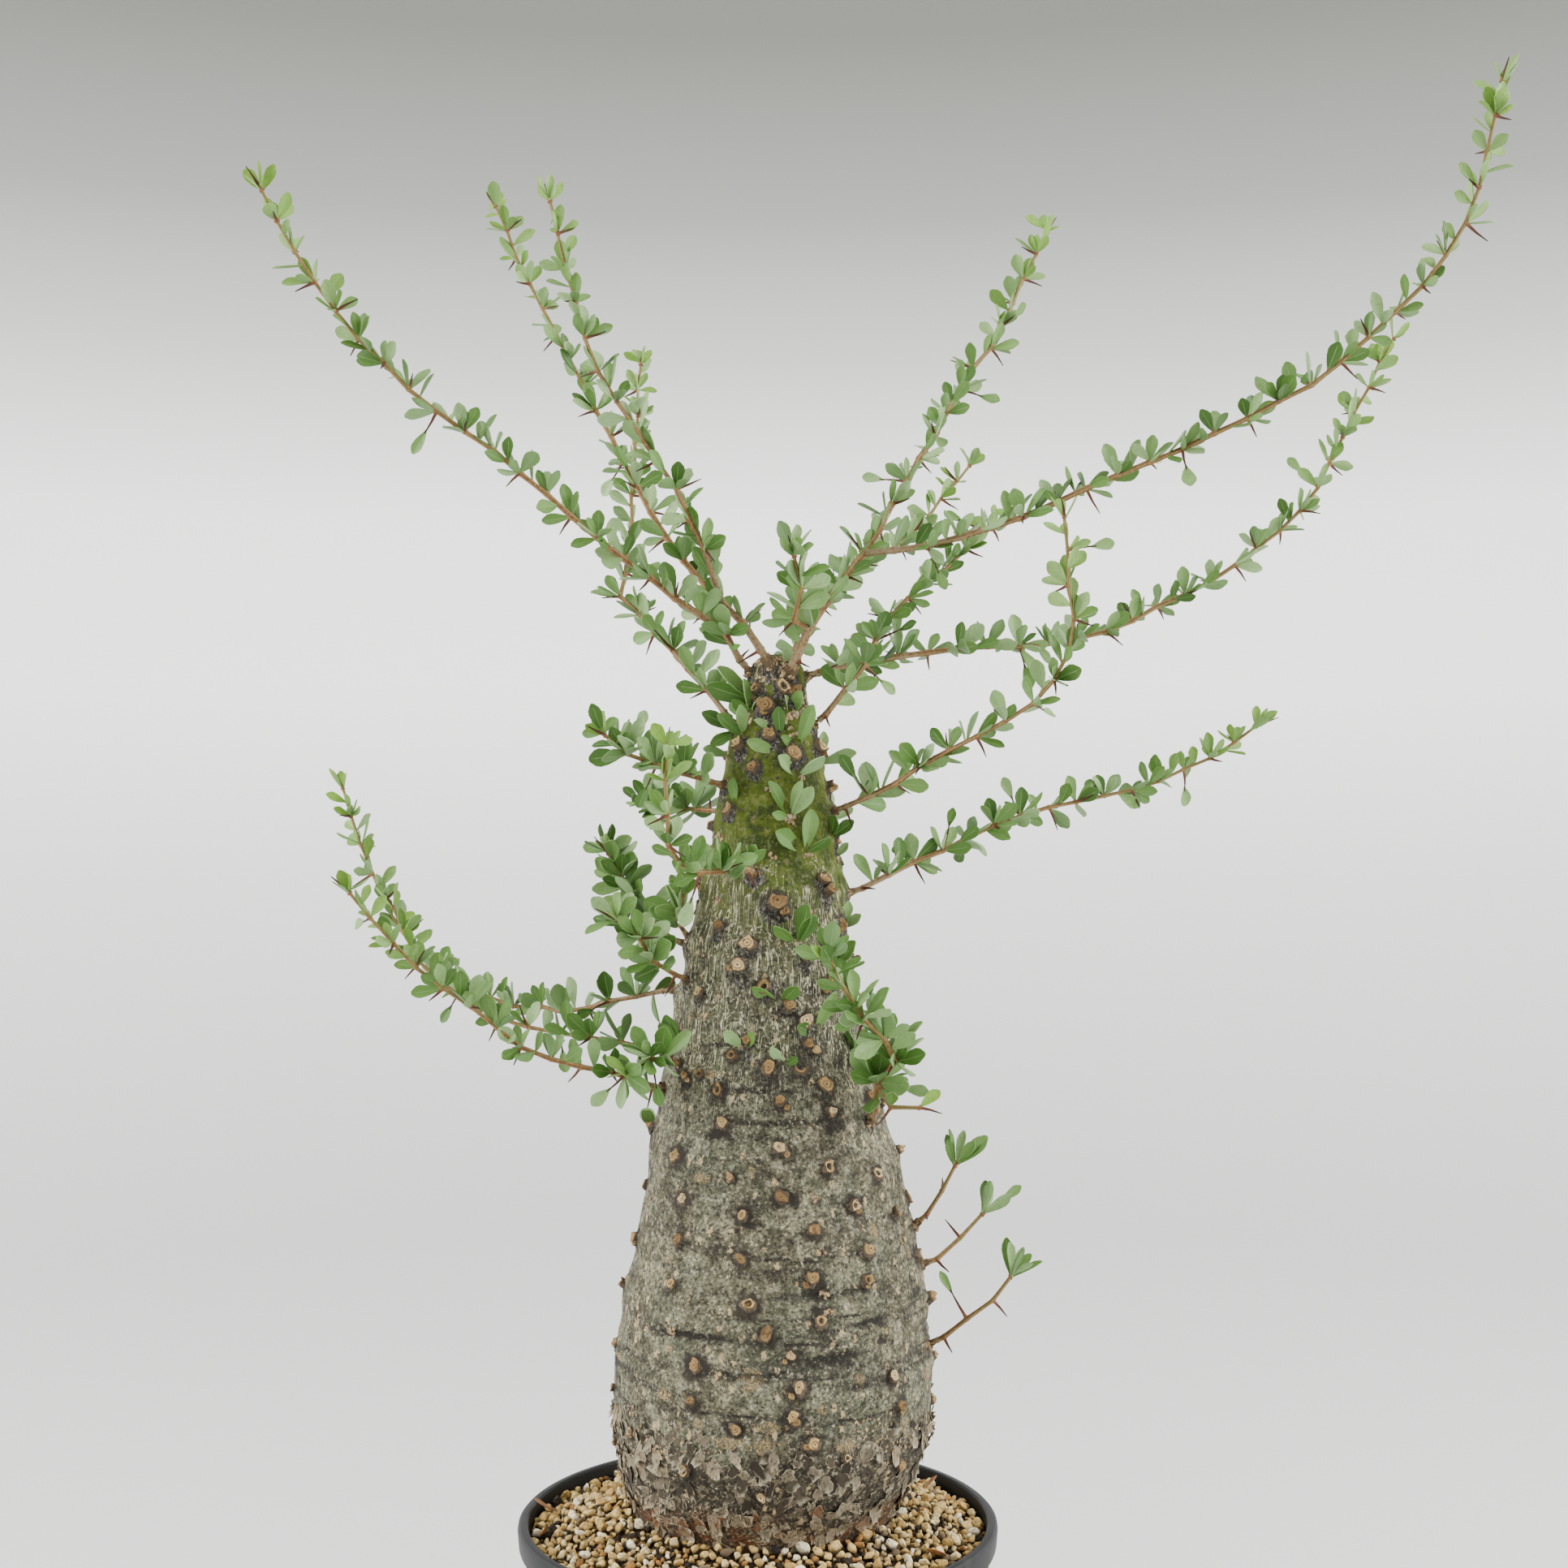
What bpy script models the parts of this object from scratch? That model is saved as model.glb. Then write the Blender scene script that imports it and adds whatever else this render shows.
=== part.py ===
"""A potted boojum tree: a bottle-shaped trunk in a round plastic pot of gravel, with thorny leafy branches.

Metres, +Z up, +X to the viewer's right, +Y away from the viewer. The origin is the middle of the pot's underside.
Azimuths on the trunk are in degrees from the viewer's side (-Y), and positive towards +X.
"""

import math
import random

import bmesh
import bpy
import numpy as np
from mathutils import Matrix, Vector

MM = 0.001
UP = Vector((0.0, 0.0, 1.0))
CLEARANCE = 0.45 * MM  # between a piece and the one that it rests in
SEAT_GAP = 0.3 * MM  # between the flat end of a stub and the branch on it

# The pot, a round nursery pot with a rolled rim
POT_HEIGHT = 0.200
RIM_RADIUS = 0.120
RIM_BAND = 0.013
LIP = 0.0055
BASE_RADIUS = 0.090
WALL = 0.003
FLOOR_LIFT = 0.003
FOOT_WIDTH = 0.009
PAD_RADIUS = 0.024
DRAIN_RADIUS = 0.005
DRAIN_CIRCLE = 0.052
DRAIN_COUNT = 6
NOTCH_WIDTH = 0.010
NOTCH_COUNT = 4
POT_SIDES = 36

# The gravel, heaped a little against the trunk
SOIL_AT_WALL = 0.1935
SOIL_AT_TRUNK = 0.206
SOIL_RINGS = 8
PEBBLE = 0.011
PEBBLE_RISE = 0.0028

# The trunk: height, radius and how far its middle stands to the right of the pot's
TRUNK_STATIONS = (
    (0.140, 0.044, 0.003),
    (0.180, 0.056, 0.003),
    (0.206, 0.066, 0.003),
    (0.226, 0.0745, 0.005),
    (0.247, 0.0795, 0.007),
    (0.267, 0.0805, 0.0073),
    (0.288, 0.079, 0.0085),
    (0.308, 0.076, 0.009),
    (0.349, 0.067, 0.009),
    (0.390, 0.0598, 0.0067),
    (0.431, 0.0512, 0.0055),
    (0.471, 0.0428, 0.0045),
    (0.512, 0.0360, 0.0069),
    (0.553, 0.0278, 0.0084),
    (0.582, 0.0228, 0.0081),
    (0.597, 0.0186, 0.0087),
    (0.610, 0.0146, 0.0094),
    (0.621, 0.0134, 0.0094),
    (0.628, 0.0108, 0.0096),
    (0.632, 0.0055, 0.0096),
)
TRUNK_SIDES = 24
TRUNK_RINGS = 20
RELIEF_FROM = 0.212

# The knobs are the healed stumps of shed branches: pixels of the front view, and the rest on a spiral of
# 5 turns to 13 knobs
KNOBS_SEEN = (
    (961, 1357), (961, 1415), (963, 1475), (1003, 1517), (1001, 1575), (1011, 1629), (1015, 1338), (1021, 1369),
    (1019, 1438), (1067, 1350), (1073, 1394), (1077, 1446), (1052, 1486), (1067, 1540), (1067, 1579), (886, 1344),
    (890, 1384), (901, 1450), (915, 1498), (913, 1552), (922, 1608), (834, 1425), (841, 1477), (841, 1527),
    (830, 1583), (844, 1326), (903, 1301), (994, 1286), (929, 946), (955, 1112), (890, 1143), (930, 1068),
    (1013, 1085), (912, 1190), (942, 1218), (865, 1225), (944, 1644), (974, 1671), (857, 1683), (984, 1710),
    (855, 1725), (976, 1744), (907, 1760), (1001, 1779), (1100, 1496), (1100, 1696), (1109, 1731), (914, 920),
    (974, 930), (944, 872), (934, 848), (965, 846), (901, 998), (989, 1180), (1021, 1208), (863, 1325), (949, 829),
    (1002, 921), (948, 905), (975, 852), (970, 1240), (990, 1261), (1003, 1294), (921, 1282), (947, 1317),
    (985, 1316), (1048, 1307), (1041, 1208), (1051, 1185), (1035, 1140), (1017, 1098), (924, 1164),
)
KNOB_TURN = 360.0 * 5 / 13
KNOB_FIRST = 0.236
KNOB_LAST = 0.606
KNOB_COUNT = 190
KNOB_STEP = 4  # every fourth knob is raised here
KNOB_ROOM = 0.0125
KNOB_RADIUS = 0.0034
KNOB_RISE = 0.0030
KNOB_SIDES = 4

# What the eye sees from the front: the size of a pixel at the pot's axis, and the axis's own column
PIXEL = 0.408 * MM
VIEW_MIDDLE = 966
AXIS_COLUMN = 934
EYE_DISTANCE = 1.095
EYE_HEIGHT = 0.567

# Leaves, spines and stems
NODE_SPACING = 0.0165
LEAF_LENGTH = (0.0130, 0.0180)
LEAF_WIDTH_SHARE = 0.50
LEAF_OUTLINE = ((0.50, 0.50), (0.96, 0.28))  # along the length, and half the width
LEAF_MIDDLE = 0.60
LEAF_THICKNESS = 1.1 * MM
LEAVES_MODELLED = (1, 2, 1)  # at three nodes in a row, and so on along the stem
LEAVES_GROWN = 3
SPRIG_LEAVES_MODELLED = 2
SPINE_LENGTH = (0.009, 0.014)
SPINE_RADIUS = 0.55 * MM
SPINE_EVERY = 5
STEM_SIDES = 4
ZIGZAG = 0.6 * MM
STUB_OUT = 0.0045
STUB_IN = 0.008
LEAF_TURN = 137.5
LEAF_ROOM = 0.8 * MM
LEAF_BALLS = ((0.32, 0.0), (0.52, -0.26), (0.52, 0.26), (0.75, -0.22), (0.75, 0.22), (0.94, 0.0))
TIP_SINK = 1.6 * MM
ROOT_SPREAD = 0.25 * MM
SPRIG_SINK = 1.5 * MM
CROWN = 0.600
CROWN_SINK = 4.5 * MM

# Each branch: where it leaves the trunk (azimuth, height), the radii at its root and tip, and its limbs.
# A limb is a route of (column, row, depth): pixels of the front view, and millimetres away from the viewer.
# The second and later limbs fork from the first.
BRANCHES = {
    "branch_left_long": {
        "root": (-78, 0.623), "radii": (1.9, 0.75),
        "limbs": [[(895, 781, -16), (822, 729, -27), (735, 661, -40), (622, 566, -57), (549, 514, -65),
                   (488, 464, -72), (425, 397, -78), (371, 323, -84), (321, 232, -89)]],
    },
    "branch_left_twin": {
        "root": (-15, 0.626), "radii": (2.1, 0.75),
        "limbs": [[(909, 761, -11), (883, 735, 0), (844, 694, 8), (811, 646, 16), (776, 583, 27), (731, 499, 40),
                   (687, 414, 51), (648, 340, 59), (610, 252, 68)],
                  [(890, 741, -3), (878, 705, -19), (848, 635, -32), (818, 579, -40), (770, 510, -49),
                   (727, 436, -54), (703, 349, -57), (677, 245, -59)]],
    },
    "branch_left_upright": {
        "root": (-84, 0.597), "radii": (1.6, 0.75),
        "limbs": [[(853, 830, 14), (820, 793, 30), (783, 752, 46), (765, 730, 54), (775, 680, 70), (779, 610, 84),
                   (783, 545, 97), (787, 484, 108), (790, 447, 113)]],
    },
    "branch_right_fork": {
        "root": (22, 0.621), "radii": (2.5, 0.8),
        "limbs": [[(992, 784, -14), (1025, 731, -11), (1063, 683, -3), (1117, 593, 19), (1153, 534, 35),
                   (1190, 468, 51), (1229, 415, 65), (1255, 356, 78), (1291, 283, 89)],
                  [(1058, 688, -5), (1117, 676, -11), (1196, 659, -16), (1288, 626, -24), (1374, 587, -35),
                   (1472, 547, -49), (1551, 508, -59), (1624, 468, -68), (1722, 383, -78), (1775, 323, -86),
                   (1815, 257, -92), (1831, 192, -94), (1852, 97, -97)],
                  [(984, 797, -14), (980, 765, -30), (986, 718, -43), (978, 683, -49)]],
    },
    "branch_back_right": {
        "root": (155, 0.622), "radii": (1.6, 0.75),
        "limbs": [[(985, 775, 45), (1020, 735, 75), (1060, 700, 100), (1124, 659, 130), (1160, 615, 150),
                   (1196, 572, 165)]],
    },
    "branch_right_crossing": {
        "root": (72, 0.596), "radii": (1.7, 0.8),
        "limbs": [[(1033, 861, -11), (1061, 827, -11), (1078, 790, 0), (1111, 744, 14), (1150, 712, 27),
                   (1183, 685, 38), (1216, 655, 49), (1240, 640, 57)]],
    },
    "branch_right_long": {
        "root": (98, 0.621), "radii": (1.9, 0.75),
        "limbs": [[(1030, 823, 16), (1143, 804, 32), (1209, 796, 38), (1268, 797, 40), (1321, 787, 46),
                   (1374, 774, 51), (1420, 751, 57), (1505, 708, 65), (1584, 646, 73), (1624, 600, 78),
                   (1650, 547, 84), (1677, 494, 89), (1698, 452, 92), (1719, 415, 94)]],
    },
    "branch_right_turned_up": {
        "root": (76, 0.553), "radii": (1.5, 0.75),
        "limbs": [[(1060, 986, -19), (1091, 972, -27), (1150, 935, -40), (1229, 893, -54), (1268, 873, -59),
                   (1295, 843, -68), (1318, 806, -76), (1322, 770, -81), (1318, 718, -84), (1313, 660, -86),
                   (1311, 634, -86)]],
    },
    "branch_right_low": {
        "root": (84, 0.512), "radii": (1.6, 0.75),
        "limbs": [[(1080, 1085, 3), (1130, 1062, 14), (1180, 1040, 24), (1230, 1015, 35), (1290, 995, 46),
                   (1350, 983, 57), (1400, 972, 65), (1450, 952, 73), (1500, 930, 81), (1550, 893, 86)]],
    },
    "branch_low_left_back": {
        "root": (-92, 0.463), "radii": (1.4, 0.75),
        "limbs": [[(770, 1230, 16), (731, 1239, 30), (693, 1247, 43), (664, 1241, 54), (629, 1239, 62),
                   (602, 1228, 70), (560, 1210, 78), (520, 1180, 86), (490, 1140, 92), (468, 1100, 94),
                   (444, 1040, 97), (422, 969, 100)]],
    },
    "branch_low_left_middle": {
        "root": (-80, 0.433), "radii": (1.3, 0.75),
        "limbs": [[(784, 1289, -14), (737, 1280, -8), (682, 1271, -3), (623, 1257, 3), (585, 1240, 5),
                   (550, 1215, 8), (520, 1187, 11), (500, 1157, 14), (483, 1115, 16)]],
    },
    "branch_low_left_front": {
        "root": (-72, 0.416), "radii": (1.6, 0.75),
        "limbs": [[(781, 1330, -40), (737, 1318, -49), (687, 1308, -57), (635, 1288, -65), (611, 1266, -70),
                   (570, 1233, -76), (541, 1213, -78), (517, 1195, -81), (488, 1166, -84), (459, 1134, -86),
                   (429, 1098, -89)]],
    },
    "branch_mid_left": {
        "root": (-66, 0.566), "radii": (1.7, 0.85),
        "limbs": [[(871, 962, -16), (833, 950, -24), (787, 936, -32), (759, 919, -36), (743, 904, -38)]],
    },
    "branch_mid_left_back": {
        "root": (-118, 0.553), "radii": (1.5, 0.85),
        "limbs": [[(856, 999, 26), (828, 990, 36), (803, 996, 44), (790, 990, 50)]],
    },
    "branch_front_left": {
        "root": (-14, 0.523), "radii": (1.7, 0.85),
        "limbs": [[(909, 1067, -52), (892, 1072, -68), (871, 1075, -82), (838, 1067, -100), (825, 1043, -112),
                   (821, 1006, -120), (821, 962, -126), (823, 917, -130)]],
    },
    "branch_mid_left_rising": {
        "root": (-92, 0.486), "radii": (1.5, 0.85),
        "limbs": [[(828, 1155, 4), (795, 1133, 10), (786, 1113, 14), (774, 1095, 16), (762, 1072, 18),
                   (748, 1049, 20)]],
    },
    "branch_mid_left_low": {
        "root": (-62, 0.470), "radii": (1.4, 0.8),
        "limbs": [[(808, 1187, -32), (795, 1171, -38), (786, 1156, -42), (772, 1144, -46), (760, 1132, -48)]],
    },
    "branch_front_right": {
        "root": (57, 0.402), "radii": (2.0, 0.9),
        "limbs": [[(1082, 1334, -46), (1104, 1303, -60), (1089, 1278, -70), (1060, 1250, -78),
                   (1038, 1210, -84), (1022, 1180, -88)],
                  [(1076, 1346, -42), (1090, 1360, -52), (1112, 1366, -58), (1136, 1365, -62)]],
    },
    "twig_left_near": {
        "root": (-58, 0.430), "radii": (1.3, 0.85),
        "limbs": [[(820, 1310, -42), (799, 1304, -50), (781, 1310, -56), (769, 1324, -58)]],
    },
    "twig_left_upright": {
        "root": (-72, 0.489), "radii": (1.3, 0.85),
        "limbs": [[(845, 1144, -14), (841, 1121, -18), (841, 1101, -20)]],
    },
    "twig_right_upper": {
        "root": (80, 0.347), "radii": (1.4, 0.9), "tip_only": True,
        "limbs": [[(1143, 1489, -14), (1157, 1471, -16), (1170, 1452, -17), (1178, 1434, -18)]],
    },
    "twig_right_middle": {
        "root": (88, 0.326), "radii": (1.5, 0.9), "tip_only": True,
        "limbs": [[(1154, 1551, 0), (1169, 1538, 4), (1190, 1518, 8), (1212, 1494, 12)]],
    },
    "twig_right_lower": {
        "root": (79, 0.289), "radii": (1.5, 0.9), "tip_only": True,
        "limbs": [[(1172, 1638, -20), (1202, 1619, -26), (1227, 1600, -31), (1247, 1571, -34)]],
    },
    "twig_back_upper": {
        "root": (172, 0.560), "radii": (1.8, 0.9),
        "limbs": [[(950, 985, 50), (944, 972, 72), (948, 955, 94), (950, 930, 108)]],
    },
    "twig_back_lower": {
        "root": (-164, 0.470), "radii": (1.9, 0.9),
        "limbs": [[(925, 1195, 66), (912, 1180, 92), (915, 1155, 116), (920, 1120, 132)]],
    },
    "twig_back_side": {
        "root": (158, 0.420), "radii": (1.8, 0.9),
        "limbs": [[(975, 1310, 72), (990, 1295, 96), (995, 1270, 116), (990, 1240, 126)]],
    },
}

# Tufts of larger leaves that sprout straight from the trunk. Those in front are pixels of the front view, the
# foot of the tuft and then the tip of each leaf. Those behind are azimuth, height, leaves and leaf length.
SPRIGS_SEEN = (
    ((974, 1007), ((948, 962), (988, 962), (1001, 971), (953, 1003))),
    ((997, 1052), ((956, 1024), (1000, 997), (1023, 1034))),
    ((983, 1164), ((999, 1115), (954, 1140), (1004, 1127))),
    ((1003, 1271), ((1030, 1223), (983, 1265))),
    ((962, 909), ((959, 870),)),
    ((983, 920), ((1004, 868), (961, 908))),
    ((984, 957), ((1016, 934), (960, 931))),
    ((1018, 940), ((1056, 928), (1015, 901))),
    ((918, 880), ((915, 836), (934, 858), (902, 862))),
    ((914, 908), ((912, 868), (884, 880))),
    ((896, 898), ((865, 878), (876, 917))),
    ((890, 930), ((865, 924),)),
    ((979, 880), ((989, 851), (968, 857))),
    ((897, 862), ((883, 822), (871, 846))),
    ((914, 834), ((901, 804), (919, 806))),
    ((948, 822), ((942, 783), (955, 784))),
    ((978, 832), ((971, 796), (992, 806))),
    ((962, 928), ((921, 913),)),
    ((953, 896), ((930, 887),)),
    ((903, 994), ((903, 958),)),
    ((1026, 1033), ((1052, 1011), (1030, 1004))),
    ((1036, 1057), ((1046, 1038),)),
    ((1042, 1144), ((1061, 1127), (1046, 1111))),
    ((1034, 1190), ((1054, 1160),)),
    ((961, 1237), ((983, 1213), (927, 1217))),
    ((918, 1292), ((891, 1271), (931, 1274))),
    ((968, 1314), ((950, 1291), (984, 1302))),
    ((1054, 1300), ((1066, 1265), (1077, 1287), (1046, 1269))),
    ((831, 1290), ((812, 1262), (820, 1250))),
    ((925, 1057), ((932, 1040), (920, 1043))),
)
SPRIGS_BEHIND = (
    (112, 0.548, 2, 0.018), (-150, 0.590, 3, 0.020), (-170, 0.530, 2, 0.021), (135, 0.500, 2, 0.020),
    (-135, 0.500, 3, 0.020), (-125, 0.440, 2, 0.018), (178, 0.440, 2, 0.019), (165, 0.604, 3, 0.018),
    (-118, 0.600, 3, 0.018), (128, 0.590, 2, 0.018), (-104, 0.392, 2, 0.016), (140, 0.385, 2, 0.018),
)


def clear_scene():
    for obj in list(bpy.data.objects):
        bpy.data.objects.remove(obj)


def material(name, colour, roughness):
    made = bpy.data.materials.new(name)
    made.use_nodes = True
    shader = made.node_tree.nodes["Principled BSDF"]
    shader.inputs["Base Color"].default_value = (*colour, 1.0)
    shader.inputs["Roughness"].default_value = roughness
    shader.inputs["Metallic"].default_value = 0.0
    return made


def mesh_object(name, bm, finish, collection=None):
    bmesh.ops.recalc_face_normals(bm, faces=bm.faces[:])
    mesh = bpy.data.meshes.new(name)
    bm.to_mesh(mesh)
    bm.free()
    mesh.materials.append(finish)
    obj = bpy.data.objects.new(name, mesh)
    (collection or bpy.context.scene.collection).objects.link(obj)
    return obj


def apply_modifiers(obj):
    """Replaces the object's mesh by what its modifiers make of it."""
    graph = bpy.context.evaluated_depsgraph_get()
    made = bpy.data.meshes.new_from_object(obj.evaluated_get(graph))
    obj.modifiers.clear()
    obj.data = made


def remove_objects(objects):
    for obj in list(objects):
        bpy.data.objects.remove(obj)


def join_collection(obj, collection, operation="UNION", solver="MANIFOLD"):
    """One Boolean of obj with everything in the collection, which is then removed."""
    joined = obj.modifiers.new("join", "BOOLEAN")
    joined.operation = operation
    joined.operand_type = "COLLECTION"
    joined.collection = collection
    joined.solver = solver
    apply_modifiers(obj)
    remove_objects(collection.objects)
    bpy.data.collections.remove(collection)


def new_collection(name):
    made = bpy.data.collections.new(name)
    bpy.context.scene.collection.children.link(made)
    return made


def smooth_between(stations, height, column):
    """The value of one column of the stations at a height, on a smooth curve through all of them."""
    heights = [row[0] for row in stations]
    height = min(max(height, heights[0]), heights[-1])
    i = max(k for k in range(len(heights) - 1) if heights[k] <= height)
    before, after = max(i - 1, 0), min(i + 2, len(stations) - 1)
    span = heights[i + 1] - heights[i]
    t = (height - heights[i]) / span
    low, high = stations[i][column], stations[i + 1][column]
    slope_low = (high - stations[before][column]) / (heights[i + 1] - heights[before]) * span
    slope_high = (stations[after][column] - low) / (heights[after] - heights[i]) * span
    return (
        (2 * t**3 - 3 * t**2 + 1) * low
        + (t**3 - 2 * t**2 + t) * slope_low
        + (3 * t**2 - 2 * t**3) * high
        + (t**3 - t**2) * slope_high
    )


def trunk_axis(height):
    return Vector((smooth_between(TRUNK_STATIONS, height, 2), 0.0, height))


def trunk_radius(height, azimuth):
    """The trunk's radius: its smooth outline, with shallow swells and creases above the gravel."""
    plain = smooth_between(TRUNK_STATIONS, height, 1)
    shown = min(1.0, max(0.0, (height - RELIEF_FROM) / 0.02)) * min(1.0, plain / 0.03)
    a = math.radians(azimuth)
    swell = 0.8 * MM * math.sin(2 * a + 31 * height) + 0.5 * MM * math.sin(3 * a - 45 * height + 1.0)
    crease = 0.7 * MM * math.sin(math.tau * height / 0.034 + 0.6 * math.sin(a + 0.4))
    return plain + shown * (swell + crease)


def outward(azimuth):
    a = math.radians(azimuth)
    return Vector((math.sin(a), -math.cos(a), 0.0))


def on_trunk(azimuth, height):
    """The point of the trunk's surface at an azimuth and height, and the direction straight out of it there."""
    step = 1.0 * MM
    here = trunk_axis(height) + outward(azimuth) * trunk_radius(height, azimuth)
    above = trunk_axis(height + step) + outward(azimuth) * trunk_radius(height + step, azimuth)
    across = Vector((math.cos(math.radians(azimuth)), math.sin(math.radians(azimuth)), 0.0))
    return here, across.cross(above - here).normalized()


def frame_of(direction):
    """Two directions that make right angles with this one and each other."""
    side = direction.cross(UP)
    if side.length < 0.05:
        side = direction.cross(Vector((1.0, 0.0, 0.0)))
    side.normalize()
    return side, side.cross(direction).normalized()


def ring_points(middle, side, lift, radius, sides):
    angles = [math.tau * k / sides for k in range(sides)]
    return [middle + side * radius * math.cos(a) + lift * radius * math.sin(a) for a in angles]


def frustum(start, end, radius_start, radius_end, sides):
    """A straight tapered peg from start to end, closed at both ends."""
    bm = bmesh.new()
    side, lift = frame_of((end - start).normalized())
    rings = []
    for middle, radius in ((start, radius_start), (end, radius_end)):
        spots = ring_points(middle, side, lift, radius, sides)
        rings.append([bm.verts.new(spot) for spot in spots])
    for k in range(sides):
        after = (k + 1) % sides
        bm.faces.new((rings[0][k], rings[0][after], rings[1][after], rings[1][k]))
    bm.faces.new(rings[0][::-1])
    bm.faces.new(rings[1])
    return bm


def tube(points, radii, sides, first_forward=None):
    """A closed tube through the points, whose rings turn with it without twisting."""
    bm = bmesh.new()
    forward = first_forward or (points[1] - points[0]).normalized()
    side, _ = frame_of(forward)
    rings = []
    for i, (point, radius) in enumerate(zip(points, radii)):
        before, after = points[max(i - 1, 0)], points[min(i + 1, len(points) - 1)]
        turned_forward = (after - before).normalized() if i or not first_forward else first_forward
        side = (forward.rotation_difference(turned_forward) @ side).normalized()
        forward = turned_forward
        spots = ring_points(point, side, forward.cross(side), radius, sides)
        rings.append([bm.verts.new(spot) for spot in spots])
    for low, high in zip(rings, rings[1:]):
        for k in range(sides):
            after = (k + 1) % sides
            bm.faces.new((low[k], low[after], high[after], high[k]))
    bm.faces.new(rings[0][::-1])
    bm.faces.new(rings[-1])
    return bm


def seen(column, row, depth_mm):
    """The place at that depth which the front view shows at that pixel."""
    depth = depth_mm * MM
    pixel = PIXEL * (EYE_DISTANCE + depth) / EYE_DISTANCE
    eye_x = (VIEW_MIDDLE - AXIS_COLUMN) * PIXEL
    return Vector((eye_x + (column - VIEW_MIDDLE) * pixel, depth, EYE_HEIGHT + (VIEW_MIDDLE - row) * pixel))


def seen_on_trunk(column, row):
    """The azimuth and height of the spot of the trunk that the front view shows at that pixel."""
    depth = 0.0
    for _ in range(10):
        spot = seen(column, row, depth / MM)
        radius = smooth_between(TRUNK_STATIONS, spot.z, 1)
        across = min(max((spot.x - trunk_axis(spot.z).x) / radius, -0.99), 0.99)
        depth = -radius * math.sqrt(1 - across**2)
    return math.degrees(math.asin(across)), spot.z


def curve_through(points, spacing):
    """Evenly spaced points on a smooth curve through the given ones."""
    fine = []
    padded = [points[0] * 2 - points[1], *points, points[-1] * 2 - points[-2]]
    for a, b, c, d in zip(padded, padded[1:], padded[2:], padded[3:]):
        for step in range(12):
            t = step / 12
            fine.append(0.5 * (2 * b + (c - a) * t + (2 * a - 5 * b + 4 * c - d) * t**2
                               + (3 * b - a - 3 * c + d) * t**3))
    fine.append(points[-1].copy())
    length = sum((q - p).length for p, q in zip(fine, fine[1:]))
    count = max(2, round(length / spacing))
    even, travelled, target = [fine[0]], 0.0, length / count
    for p, q in zip(fine, fine[1:]):
        piece = (q - p).length
        while travelled + piece >= target and len(even) < count:
            even.append(p.lerp(q, (target - travelled) / piece))
            target += length / count
        travelled += piece
    even.append(fine[-1])
    return even


def limb_points(name, index, start, route):
    """The nodes along one limb: evenly spaced, with the small zigzag that every leafy stem has."""
    chance = random.Random(f"{name} {index} zigzag")
    places = curve_through([start] + [seen(*pixel) for pixel in route], NODE_SPACING)
    for i in range(1, len(places) - 1):
        forward = (places[i + 1] - places[i - 1]).normalized()
        side, lift = frame_of(forward)
        swing = 1 if i % 2 else -1
        places[i] += swing * ZIGZAG * (side + lift * chance.uniform(-0.8, 0.8))
    return places


def branch_stub(branch):
    """Where a branch's stub leaves the trunk, its direction, and the middle of its flat end."""
    root, out = on_trunk(*branch["root"])
    first = seen(*branch["limbs"][0][0])
    direction = ((first - root).normalized() + 0.35 * out).normalized()
    return root, direction, root + direction * STUB_OUT


def branch_limbs(name, branch):
    """The limbs of a branch as lists of (point, radius)."""
    _, direction, seat = branch_stub(branch)
    thick, thin = (radius * MM for radius in branch["radii"])
    limbs = []
    for index, route in enumerate(branch["limbs"]):
        if index == 0:
            start, root_radius, route_left = seat + direction * SEAT_GAP, thick, route
            points = [start] + limb_points(name, index, start + direction * STUB_OUT, route_left)
        else:
            start, root_radius, route_left = seen(*route[0]), thick * 0.72, route[1:]
            start = min((point for point, _ in limbs[0][2:]), key=lambda point: (point - start).length)
            points = limb_points(name, index, start, route_left)
        last = len(points) - 1
        radii = [root_radius + (thin - root_radius) * (i / last) ** 0.8 for i in range(last + 1)]
        limbs.append(list(zip(points, radii)))
    return limbs


class Leaf:
    """One leaf: where it starts, where it points, which way its upper face looks, and its size."""

    def __init__(self, base, direction, face, length, curl):
        self.base = base
        self.direction = direction.normalized()
        self.side = self.direction.cross(face).normalized()
        self.face = self.side.cross(self.direction)
        self.length = length
        self.half_width = 0.5 * length * LEAF_WIDTH_SHARE
        self.curl = curl

    def at(self, along, across, lift=0.0):
        bend = self.curl * along**2 * self.length
        return (
            self.base
            + self.direction * along * self.length
            + self.side * across * 2 * self.half_width
            + self.face * (lift + bend)
        )

    def bubbles(self):
        """A few balls that hold the leaf, for keeping things apart."""
        return [(self.at(along, across), 0.42 * self.half_width) for along, across in LEAF_BALLS]

    def mesh(self):
        bm = bmesh.new()
        near_side = [bm.verts.new(self.at(u, -v)) for u, v in LEAF_OUTLINE]
        far_side = [bm.verts.new(self.at(u, v)) for u, v in LEAF_OUTLINE[::-1]]
        rim = [bm.verts.new(self.at(0.0, 0.0)), *near_side, *far_side]
        under = bm.verts.new(self.at(LEAF_MIDDLE, 0.0, -LEAF_THICKNESS))
        for a, b in zip(rim, rim[1:] + rim[:1]):
            bm.faces.new((under, b, a))
        bm.faces.new((rim[0], near_side[0], far_side[-1]))
        bm.faces.new((near_side[0], far_side[0], far_side[-1]))
        bm.faces.new((near_side[0], near_side[1], far_side[0]))
        return bm


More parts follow.
